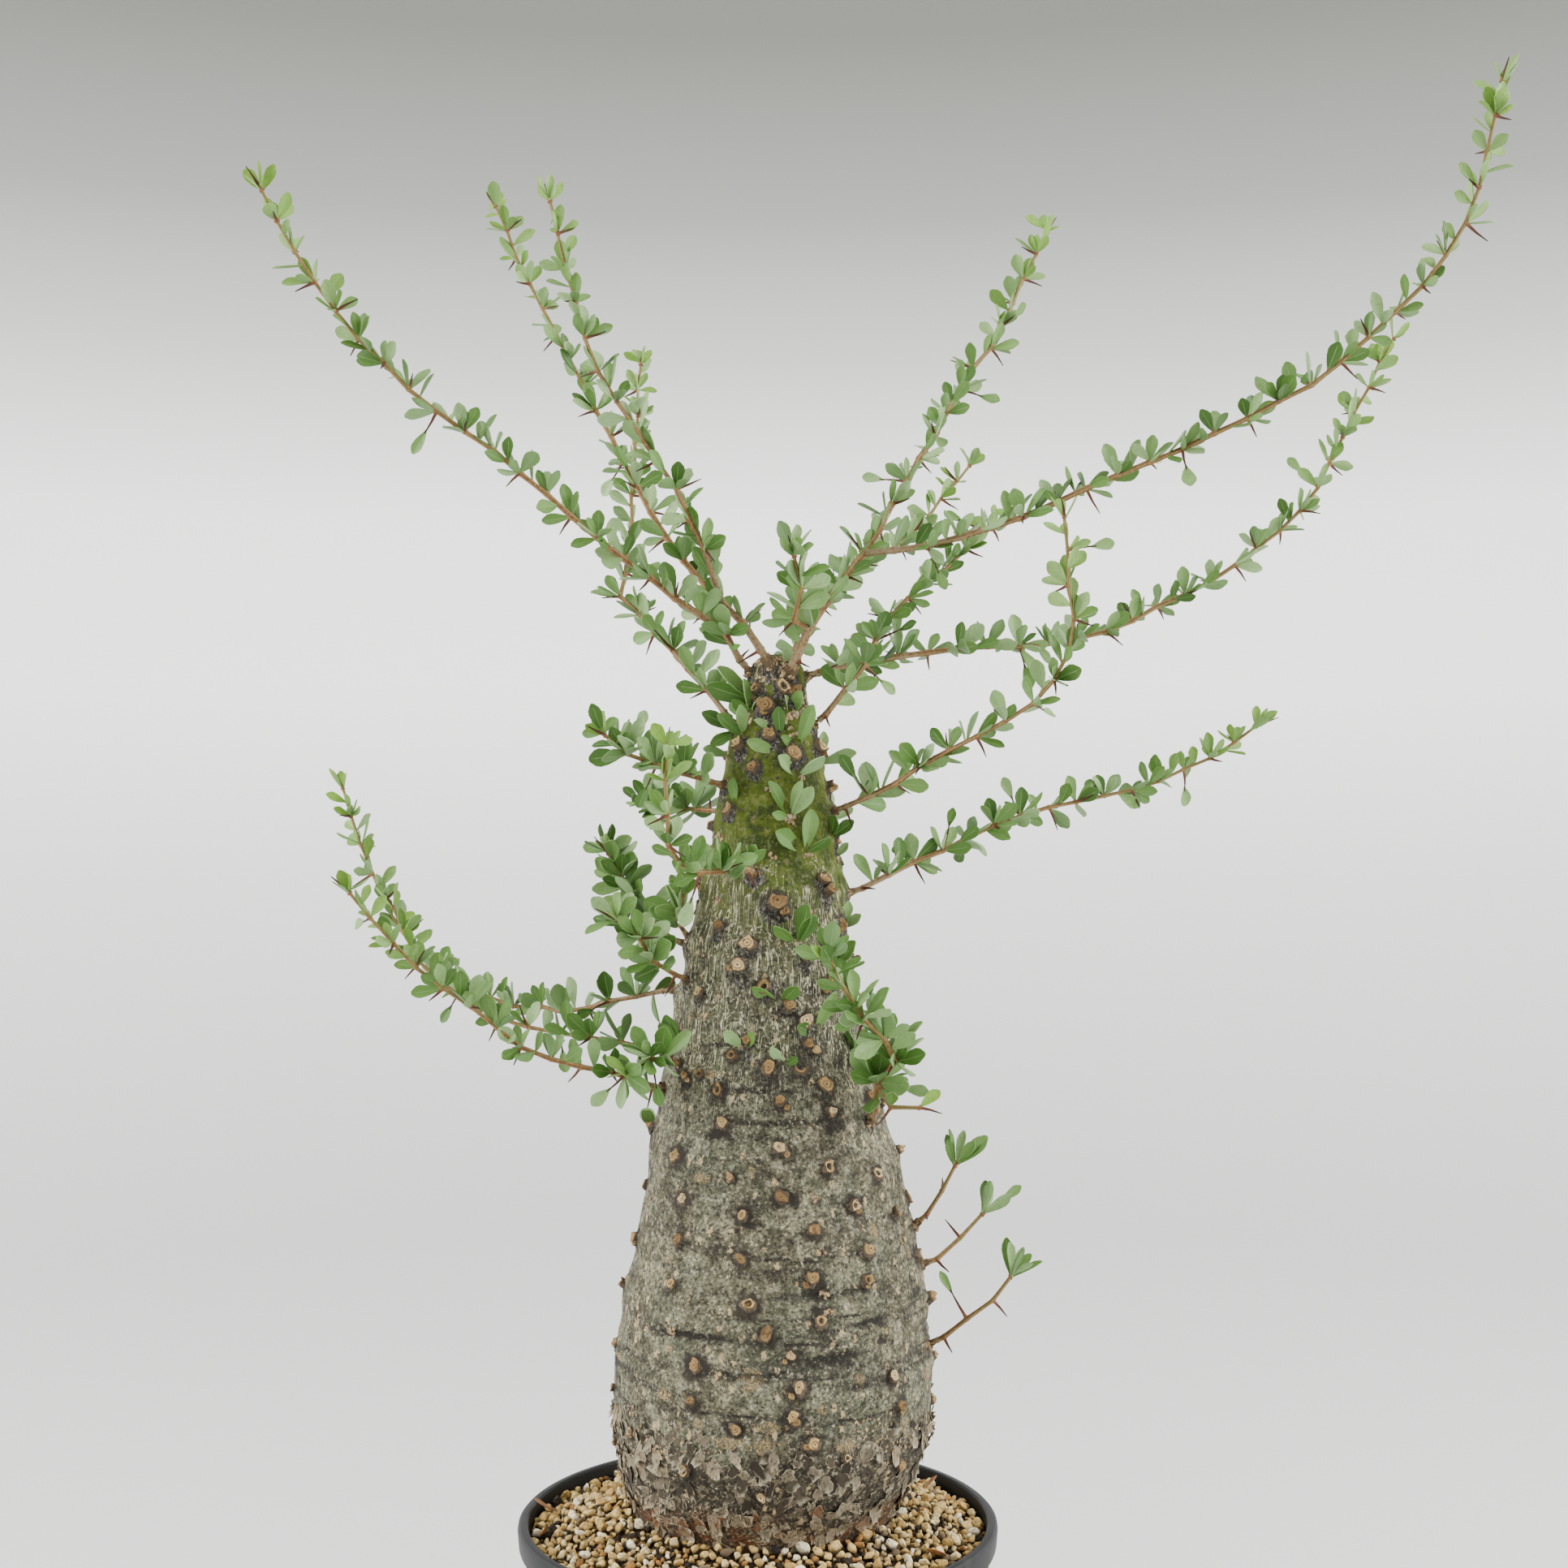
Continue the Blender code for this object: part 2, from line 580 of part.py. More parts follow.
class Room:
    """Balls already taken up by stems and leaves, each marked with its node and its tuft."""

    def __init__(self):
        self.centres, self.sizes, self.nodes, self.tufts = [], [], [], []

    def take(self, balls, node, tuft):
        for centre, size in balls:
            self.centres.append(tuple(centre))
            self.sizes.append(size)
            self.nodes.append(node)
            self.tufts.append(tuft)

    def clear_of(self, balls, node, tuft):
        """True if the balls keep clear of every other node, and of the node's own other tufts' leaves."""
        centres = np.array(self.centres)
        sizes = np.array(self.sizes)
        other = np.array([n != node for n in self.nodes])
        mine = np.array([n == node and t not in (tuft, None) for n, t in zip(self.nodes, self.tufts)])
        for centre, size in balls:
            apart = np.linalg.norm(centres - np.array(centre), axis=1) - sizes - size
            if (apart[other] < LEAF_ROOM).any() or (apart[mine] < -0.3 * size).any():
                return False
        return not any(inside_trunk(centre, size) for centre, size in balls if node != "trunk")


def inside_trunk(centre, size):
    flat = Vector((centre[0], centre[1], 0.0)) - trunk_axis(centre[2]).to_2d().to_3d()
    azimuth = math.degrees(math.atan2(flat.x, -flat.y))
    top, reach = TRUNK_STATIONS[-1][0], KNOB_RISE + STUB_OUT
    return centre[2] < top + size and flat.length < trunk_radius(centre[2], azimuth) + size + reach


def tuft(base, forward, out, count, lengths, chance):
    """The leaves of one tuft, fanned about a line between the way out and straight up."""
    centre = (out * 0.8 + forward * 0.3 + UP * 0.7).normalized()
    side, lift = frame_of(centre)
    first = chance.uniform(0, 360)
    leaves = []
    for k in range(count):
        angle = math.radians(first + k * LEAF_TURN + chance.uniform(-18, 18))
        spread = math.radians(chance.uniform(26, 44))
        around = side * math.cos(angle) + lift * math.sin(angle)
        direction = centre * math.cos(spread) + around * math.sin(spread)
        loose = Vector((chance.uniform(-0.8, 0.8), chance.uniform(-0.8, 0.8), chance.uniform(-0.8, 0.8)))
        face = centre * 0.5 - around * 0.3 + loose - Vector((0.0, 0.5, 0.0))
        length = chance.uniform(*lengths) * (1.0 if k < 2 else 0.82)
        leaves.append(Leaf(base + direction * ROOT_SPREAD, direction, face, length, chance.uniform(-0.06, 0.16)))
    return leaves


def branch_tufts(name, branch, limbs):
    """Every tuft of a branch as (tuft number, base, way out, forward, leaves), from root to tip."""
    found = []
    for index, limb in enumerate(limbs):
        chance = random.Random(f"{name} {index} leaves")
        turn = chance.uniform(0, 360)
        for i in range(1, len(limb)):
            point = limb[i][0]
            forward = (point - limb[i - 1][0]).normalized()
            side, lift = frame_of(forward)
            turn += LEAF_TURN
            a = math.radians(turn)
            out = side * math.cos(a) + lift * math.sin(a)
            at_tip = i == len(limb) - 1
            share = i / (len(limb) - 1)
            size = 1.0 - 0.27 * share if not branch.get("tip_only") else 1.15
            lengths = tuple(length * size for length in LEAF_LENGTH)
            if at_tip:
                out = forward
                point = point - forward * TIP_SINK
            leaves = tuft(point, forward, out, LEAVES_GROWN, lengths, chance)
            bare = (branch.get("tip_only") and not at_tip) or (index == 0 and i == 1)
            found.append((index * 100 + i, point, out, forward, [] if bare else leaves))
    return found


def spine(point, forward, out, chance):
    """The end of the thorn that grows at a node, on its underside."""
    length = chance.uniform(*SPINE_LENGTH)
    return point + (out * 0.85 + forward * chance.uniform(0.0, 0.4) - UP * 0.25).normalized() * length


def make_pot(finish):
    """The pot: its outline turned round, less the drain holes and the notches in its foot."""
    slope = (RIM_RADIUS - 0.003 - BASE_RADIUS) / (POT_HEIGHT - RIM_BAND)
    wall_in = WALL + 0.0004
    outline = [
        (0.0, 0.0), (PAD_RADIUS, 0.0), (PAD_RADIUS + 0.002, FLOOR_LIFT),
        (BASE_RADIUS - FOOT_WIDTH - 0.002, FLOOR_LIFT), (BASE_RADIUS - FOOT_WIDTH, 0.0),
        (BASE_RADIUS - 0.001, 0.0), (BASE_RADIUS, 0.003),
        (RIM_RADIUS - 0.003, POT_HEIGHT - RIM_BAND), (RIM_RADIUS - 0.0008, POT_HEIGHT - RIM_BAND + 0.002),
        (RIM_RADIUS, POT_HEIGHT - 0.003), (RIM_RADIUS - 0.002, POT_HEIGHT),
        (RIM_RADIUS - LIP + 0.001, POT_HEIGHT), (RIM_RADIUS - LIP, POT_HEIGHT - 0.003),
        (inner_wall(SOIL_AT_WALL - 0.006), SOIL_AT_WALL - 0.006),
        (BASE_RADIUS - wall_in + slope * 2 * FLOOR_LIFT, 2 * FLOOR_LIFT), (0.0, 2 * FLOOR_LIFT),
    ]
    pot = mesh_object("pot", turned_solid(outline, POT_SIDES), finish)
    cutters = new_collection("drains")
    for k in range(DRAIN_COUNT):
        middle = outward(360 * k / DRAIN_COUNT + 30) * DRAIN_CIRCLE
        hole = frustum(middle - UP * 0.01, middle + UP * 0.02, DRAIN_RADIUS, DRAIN_RADIUS, 8)
        mesh_object(f"drain_{k}", hole, finish, cutters)
    for k in range(NOTCH_COUNT):
        out = outward(360 * k / NOTCH_COUNT + 45)
        across = UP.cross(out) * NOTCH_WIDTH / 2
        bm = bmesh.new()
        corners = bmesh.ops.create_cube(bm, size=1.0)["verts"]
        length = FOOT_WIDTH + 0.008
        middle = out * (BASE_RADIUS - FOOT_WIDTH / 2)
        turn = Matrix((out * length, across * 2, UP * 2 * 0.002)).transposed().to_4x4()
        bmesh.ops.transform(bm, matrix=Matrix.Translation(middle) @ turn, verts=corners)
        mesh_object(f"notch_{k}", bm, finish, cutters)
    join_collection(pot, cutters, "DIFFERENCE")
    return pot


def turned_solid(outline, sides, centre=Vector((0.0, 0.0, 0.0))):
    """An outline of (radius, height) spun round the upright axis, where it starts and ends."""
    bm = bmesh.new()
    points = [bm.verts.new((centre.x + radius, centre.y, height)) for radius, height in outline]
    edges = [bm.edges.new((a, b)) for a, b in zip(points, points[1:])]
    bmesh.ops.spin(
        bm, geom=points + edges, cent=centre, axis=UP, angle=math.tau, steps=sides, use_merge=True
    )
    bmesh.ops.remove_doubles(bm, verts=bm.verts[:], dist=1e-6)
    return bm


def inner_wall(height):
    """The radius of the pot's inside at a height."""
    slope = (RIM_RADIUS - 0.003 - BASE_RADIUS) / (POT_HEIGHT - RIM_BAND)
    return BASE_RADIUS + slope * height - WALL - 0.0004


def pebble_height(x, y):
    """How far the gravel stands up at a point: the nearest of many scattered stones, each a low dome."""
    column, row = math.floor(x / PEBBLE), math.floor(y / PEBBLE)
    best = 0.0
    for i in (column - 1, column, column + 1):
        for j in (row - 1, row, row + 1):
            chance = random.Random(i * 7919 + j * 104729)
            middle_x = (i + chance.uniform(0.2, 0.8)) * PEBBLE
            middle_y = (j + chance.uniform(0.2, 0.8)) * PEBBLE
            rise = chance.uniform(0.5, 1.0)
            away = math.hypot(x - middle_x, y - middle_y) / (0.75 * PEBBLE)
            best = max(best, rise * math.sqrt(max(0.0, 1.0 - away**2)))
    return best * PEBBLE_RISE


def make_soil(finish):
    """The gravel: a ring round the trunk's foot, whose top is heaped and covered with stones."""
    bm = bmesh.new()
    foot = trunk_axis(0.0)
    hole_bottom = TRUNK_STATIONS[0][0] - CLEARANCE
    heights = [hole_bottom] + [h for h, _, _ in TRUNK_STATIONS if TRUNK_STATIONS[0][0] < h < SOIL_AT_TRUNK]
    rings = []
    for height in (2 * FLOOR_LIFT + CLEARANCE, SOIL_AT_WALL - 0.010, SOIL_AT_WALL - 0.004):
        rings.append([outward(360 * k / POT_SIDES) * (inner_wall(height) - CLEARANCE) + UP * height
                      for k in range(POT_SIDES)])
    for i in range(SOIL_RINGS + 1):
        t = i / SOIL_RINGS
        ring = []
        for k in range(POT_SIDES):
            half_step = 0.5 if i % 2 and i < SOIL_RINGS else 0.0
            out = outward(360 * (k + half_step) / POT_SIDES)
            wall = out * (inner_wall(SOIL_AT_WALL) - CLEARANCE - 0.0002)
            hole = smooth_between(TRUNK_STATIONS, SOIL_AT_TRUNK, 1) + 2 * CLEARANCE
            place = wall.lerp(foot.to_2d().to_3d() + out * hole, t)
            heap = SOIL_AT_WALL + (SOIL_AT_TRUNK - SOIL_AT_WALL) * t**1.4
            inner = 0.0 if i in (0, SOIL_RINGS) else pebble_height(place.x, place.y)
            ring.append(place + UP * (heap + inner - 0.001))
        rings.append(ring)
    for height in reversed(heights):
        radius = smooth_between(TRUNK_STATIONS, height, 1) + 2 * CLEARANCE
        rings.append([trunk_axis(height).to_2d().to_3d() + outward(360 * k / POT_SIDES) * radius + UP * height
                      for k in range(POT_SIDES)])
    made = [[bm.verts.new(point) for point in ring] for ring in rings]
    for low, high in zip(made, made[1:]):
        for k in range(POT_SIDES):
            after = (k + 1) % POT_SIDES
            bm.faces.new((low[k], low[after], high[after], high[k]))
    bm.faces.new(made[0][::-1])
    bm.faces.new(made[-1])
    bmesh.ops.triangulate(bm, faces=bm.faces[:])
    return mesh_object("gravel", bm, finish)


def trunk_body():
    """The bare trunk: rings from its flat foot in the gravel to its crown."""
    bm = bmesh.new()
    low, high = TRUNK_STATIONS[0][0], TRUNK_STATIONS[-1][0]
    buried = [low, 0.180, SOIL_AT_TRUNK]
    shares = [(i / TRUNK_RINGS) ** 0.95 for i in range(1, TRUNK_RINGS + 1)]
    shown = [SOIL_AT_TRUNK + (high - SOIL_AT_TRUNK) * share for share in shares]
    rings = []
    for height in buried + shown:
        ring = []
        for k in range(TRUNK_SIDES):
            azimuth = 360 * k / TRUNK_SIDES
            ring.append(bm.verts.new(trunk_axis(height) + outward(azimuth) * trunk_radius(height, azimuth)))
        rings.append(ring)
    for below, above in zip(rings, rings[1:]):
        for k in range(TRUNK_SIDES):
            after = (k + 1) % TRUNK_SIDES
            bm.faces.new((below[k], below[after], above[after], above[k]))
    bm.faces.new(rings[0][::-1])
    bm.faces.new(rings[-1])
    return bm


def knob_places(roots):
    """(place, out, size) of every knob: those in sight, then those of the spiral that keep clear of the others."""
    chance = random.Random("knobs")
    found = []
    for column, row in KNOBS_SEEN:
        place, out = on_trunk(*seen_on_trunk(column, row))
        found.append((place, out, chance.uniform(0.85, 1.25)))
    for k in range(KNOB_COUNT):
        height = KNOB_FIRST + (KNOB_LAST - KNOB_FIRST) * k / (KNOB_COUNT - 1) + chance.uniform(-2, 2) * MM
        azimuth = (KNOB_TURN * k + chance.uniform(-5, 5) + 180) % 360 - 180
        place, out = on_trunk(azimuth, height)
        size = chance.uniform(0.75, 1.25)
        hidden = abs(azimuth) > 66 or place.z < 0.262
        if hidden and all((place - other).length > KNOB_ROOM for other in [known[0] for known in found] + roots):
            found.append((place, out, size))
    return found


def make_trunk(finish, stubs, tufts, room):
    trunk = mesh_object("trunk", trunk_body(), finish)
    grown = new_collection("grown on the trunk")
    roots = [root for root, _, _, _ in stubs]
    for k, (place, out, size) in enumerate(knob_places(roots)):
        if k % KNOB_STEP or any((place - root).length < 0.010 for root in roots):
            continue
        out = (out + 0.25 * UP).normalized()
        radius = KNOB_RADIUS * size
        peg = frustum(place - out * 0.004, place + out * KNOB_RISE, radius * 1.25, radius * 0.8, KNOB_SIDES)
        mesh_object(f"knob_{k}", peg, finish, grown)
    for k, (root, direction, seat, radius) in enumerate(stubs):
        peg = frustum(root - direction * STUB_IN, seat, radius * 1.6, radius * 1.2, 5)
        mesh_object(f"stub_{k}", peg, finish, grown)
    for k, (tuft_number, leaves) in enumerate(tufts):
        for j, leaf in enumerate(leaves[:SPRIG_LEAVES_MODELLED]):
            if room.clear_of(leaf.bubbles(), "trunk", tuft_number):
                room.take(leaf.bubbles(), "trunk", tuft_number)
                mesh_object(f"sprig_{k}_{j}", leaf.mesh(), finish, grown)
    join_collection(trunk, grown)
    return trunk


def sprig_base(azimuth, height):
    """Where a tuft on the trunk starts, a little under the bark, and the way out of the bark there."""
    place, out = on_trunk(azimuth, height)
    return place - out * (CROWN_SINK if height > CROWN else SPRIG_SINK), out


def sprig_leaf(base, column, row, chance):
    """A leaf that rises from the bark at base, and whose tip the front view shows at that pixel."""
    azimuth, height = seen_on_trunk(column, row)
    surface = -trunk_radius(height, azimuth) * math.cos(math.radians(azimuth))
    tip = seen(column, row, (min(base.y, surface) / MM) - chance.uniform(4.0, 9.0))
    face = Vector((chance.uniform(-0.5, 0.5), -1.0, chance.uniform(-0.2, 0.7)))
    return Leaf(base, tip - base, face, (tip - base).length, chance.uniform(-0.05, 0.12))


def sprig_tufts():
    """The tufts that sprout from the trunk, each from a point a little under its surface."""
    found = []
    for number, (foot, tips) in enumerate(SPRIGS_SEEN):
        chance = random.Random(f"sprig {number}")
        base = sprig_base(*seen_on_trunk(*foot))[0]
        leaves = [sprig_leaf(base, column, row, chance) for column, row in tips]
        found.append((1000 + number, leaves))
    for number, (azimuth, height, count, length) in enumerate(SPRIGS_BEHIND):
        chance = random.Random(f"sprig behind {number}")
        base, out = sprig_base(azimuth, height)
        leaves = tuft(base, UP, out, count, (length * 0.9, length), chance)
        found.append((2000 + number, leaves))
    return found


def make_branch(name, branch, limbs, room, finish):
    """One branch: its limbs, leaves and thorns, joined in one solid."""
    points, radii = zip(*limbs[0])
    stem = mesh_object(name, tube(points, radii, STEM_SIDES, branch_stub(branch)[1]), finish)
    grown = new_collection(f"{name} parts")
    for index, limb in enumerate(limbs[1:]):
        points, radii = zip(*limb)
        mesh_object(f"{name}_limb_{index}", tube(points, radii, STEM_SIDES), finish, grown)
    chance = random.Random(f"{name} spines")
    for number, point, out, forward, leaves in branch_tufts(name, branch, limbs):
        kept = 0
        wanted = LEAVES_MODELLED[number % 3]
        for leaf in leaves:
            if kept < wanted and room.clear_of(leaf.bubbles(), name, number):
                room.take(leaf.bubbles(), name, number)
                mesh_object(f"{name}_leaf", leaf.mesh(), finish, grown)
                kept += 1
        end = spine(point, forward, out, chance)
        thorn = [(point.lerp(end, u), 0.4 * MM) for u in (0.4, 0.7, 1.0)]
        if number % SPINE_EVERY == 1 and room.clear_of(thorn, name, number):
            room.take(thorn, name, number)
            mesh_object(f"{name}_spine", frustum(point, end, SPINE_RADIUS, 0.12 * MM, 3), finish, grown)
    join_collection(stem, grown)
    return stem


def main():
    clear_scene()
    pot_finish = material("pot plastic", (0.028, 0.030, 0.032), 0.55)
    gravel_finish = material("gravel", (0.62, 0.50, 0.33), 0.95)
    bark_finish = material("bark", (0.30, 0.29, 0.23), 0.85)
    leafy_finish = material("leafy stem", (0.20, 0.34, 0.14), 0.6)

    make_pot(pot_finish)
    make_soil(gravel_finish)

    room = Room()
    limbs = {name: branch_limbs(name, branch) for name, branch in BRANCHES.items()}
    for name, found in limbs.items():
        for limb in found:
            for (p, r), (q, _) in zip(limb, limb[1:]):
                room.take([(p.lerp(q, t), r) for t in (0.0, 0.25, 0.5, 0.75)], name, None)
    stubs = []
    for branch in BRANCHES.values():
        root, direction, seat = branch_stub(branch)
        stubs.append((root, direction, seat, branch["radii"][0] * MM))
    make_trunk(bark_finish, stubs, sprig_tufts(), room)
    for name, branch in BRANCHES.items():
        make_branch(name, branch, limbs[name], room, leafy_finish)


main()
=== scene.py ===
# %% [markdown]
# # A potted boojum tree
#
# The trunk of this desert tree is a water store, shaped like a bottle and studded with the stumps of branches that it
# shed. Thin, thorny branches carry small tufts of oval leaves. The tree stands in a black nursery pot, under a layer
# of pumice gravel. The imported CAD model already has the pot, the gravel, the trunk and every branch in place, so this
# file dresses each of them in a finer piece of the same form.

# %% Load the frame
import math
import random

import bmesh
import bpy
import numpy as np
from mathutils import Matrix, Vector, noise


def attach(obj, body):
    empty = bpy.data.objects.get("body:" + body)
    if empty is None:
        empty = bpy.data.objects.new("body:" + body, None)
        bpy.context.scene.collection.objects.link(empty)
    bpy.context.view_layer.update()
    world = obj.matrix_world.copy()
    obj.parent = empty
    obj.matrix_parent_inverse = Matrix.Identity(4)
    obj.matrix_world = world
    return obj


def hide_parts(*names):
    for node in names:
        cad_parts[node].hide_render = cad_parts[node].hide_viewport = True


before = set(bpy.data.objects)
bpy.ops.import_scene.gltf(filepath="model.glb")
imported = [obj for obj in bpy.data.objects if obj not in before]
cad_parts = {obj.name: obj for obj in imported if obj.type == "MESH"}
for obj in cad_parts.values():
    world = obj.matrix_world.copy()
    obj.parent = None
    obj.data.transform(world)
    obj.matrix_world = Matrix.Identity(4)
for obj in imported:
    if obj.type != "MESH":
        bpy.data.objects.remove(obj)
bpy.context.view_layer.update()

# %% [markdown]
# ## Sizes
#
# The sizes below are those of the CAD model, in metres. A height is measured from the pot's underside, and an azimuth
# is in degrees from the viewer's side of the trunk. The trunk is a stack of rings, each with its height, its radius
# and how far its middle leans to the right.

# %% Sizes of the pot, the gravel and the trunk
MM = 0.001
UP = Vector((0.0, 0.0, 1.0))
SEAT_GAP = 0.3 * MM

POT_HEIGHT = 0.200
RIM_RADIUS = 0.120
RIM_BAND = 0.013
LIP = 0.0055
BASE_RADIUS = 0.090
WALL = 0.0034
FLOOR_LIFT = 0.003
FOOT_WIDTH = 0.009
PAD_RADIUS = 0.024
DRAIN_RADIUS = 0.005
DRAIN_CIRCLE = 0.052
DRAIN_COUNT = 6
NOTCH_COUNT = 4
NOTCH_WIDTH = 0.010

SOIL_AT_WALL = 0.1935
SOIL_AT_TRUNK = 0.206

TRUNK_STATIONS = (
    (0.140, 0.044, 0.003),
    (0.180, 0.056, 0.003),
    (0.206, 0.066, 0.003),
    (0.226, 0.0745, 0.005),
    (0.247, 0.0795, 0.007),
    (0.267, 0.0805, 0.0073),
    (0.288, 0.079, 0.0085),
    (0.308, 0.076, 0.009),
    (0.349, 0.067, 0.009),
    (0.390, 0.0598, 0.0067),
    (0.431, 0.0512, 0.0055),
    (0.471, 0.0428, 0.0045),
    (0.512, 0.0360, 0.0069),
    (0.553, 0.0278, 0.0084),
    (0.582, 0.0228, 0.0081),
    (0.597, 0.0186, 0.0087),
    (0.610, 0.0146, 0.0094),
    (0.621, 0.0134, 0.0094),
    (0.628, 0.0108, 0.0096),
    (0.632, 0.0055, 0.0096),
)
RELIEF_FROM = 0.212
RELIEF_RISE = 0.020
SLIM_RADIUS = 0.030
RIPPLE = 0.034
print("trunk from", TRUNK_STATIONS[0][0], "to", TRUNK_STATIONS[-1][0], "m")

# %% [markdown]
# ## Where things stand in the front view
#
# The camera looks level at the tree from a little over a metre away. A pixel of the view is a line through the scene,
# so a pixel and a depth together are a place. The branches below are written that way, as routes of pixel column,
# pixel row and depth in millimetres away from the viewer. The second and later limbs of a branch fork from its first.

# %% The view and the branches
PIXEL = 0.408 * MM
VIEW_MIDDLE = 966
AXIS_COLUMN = 934
EYE_ACROSS = (VIEW_MIDDLE - AXIS_COLUMN) * PIXEL
EYE_DISTANCE = 1.095
EYE_HEIGHT = 0.567

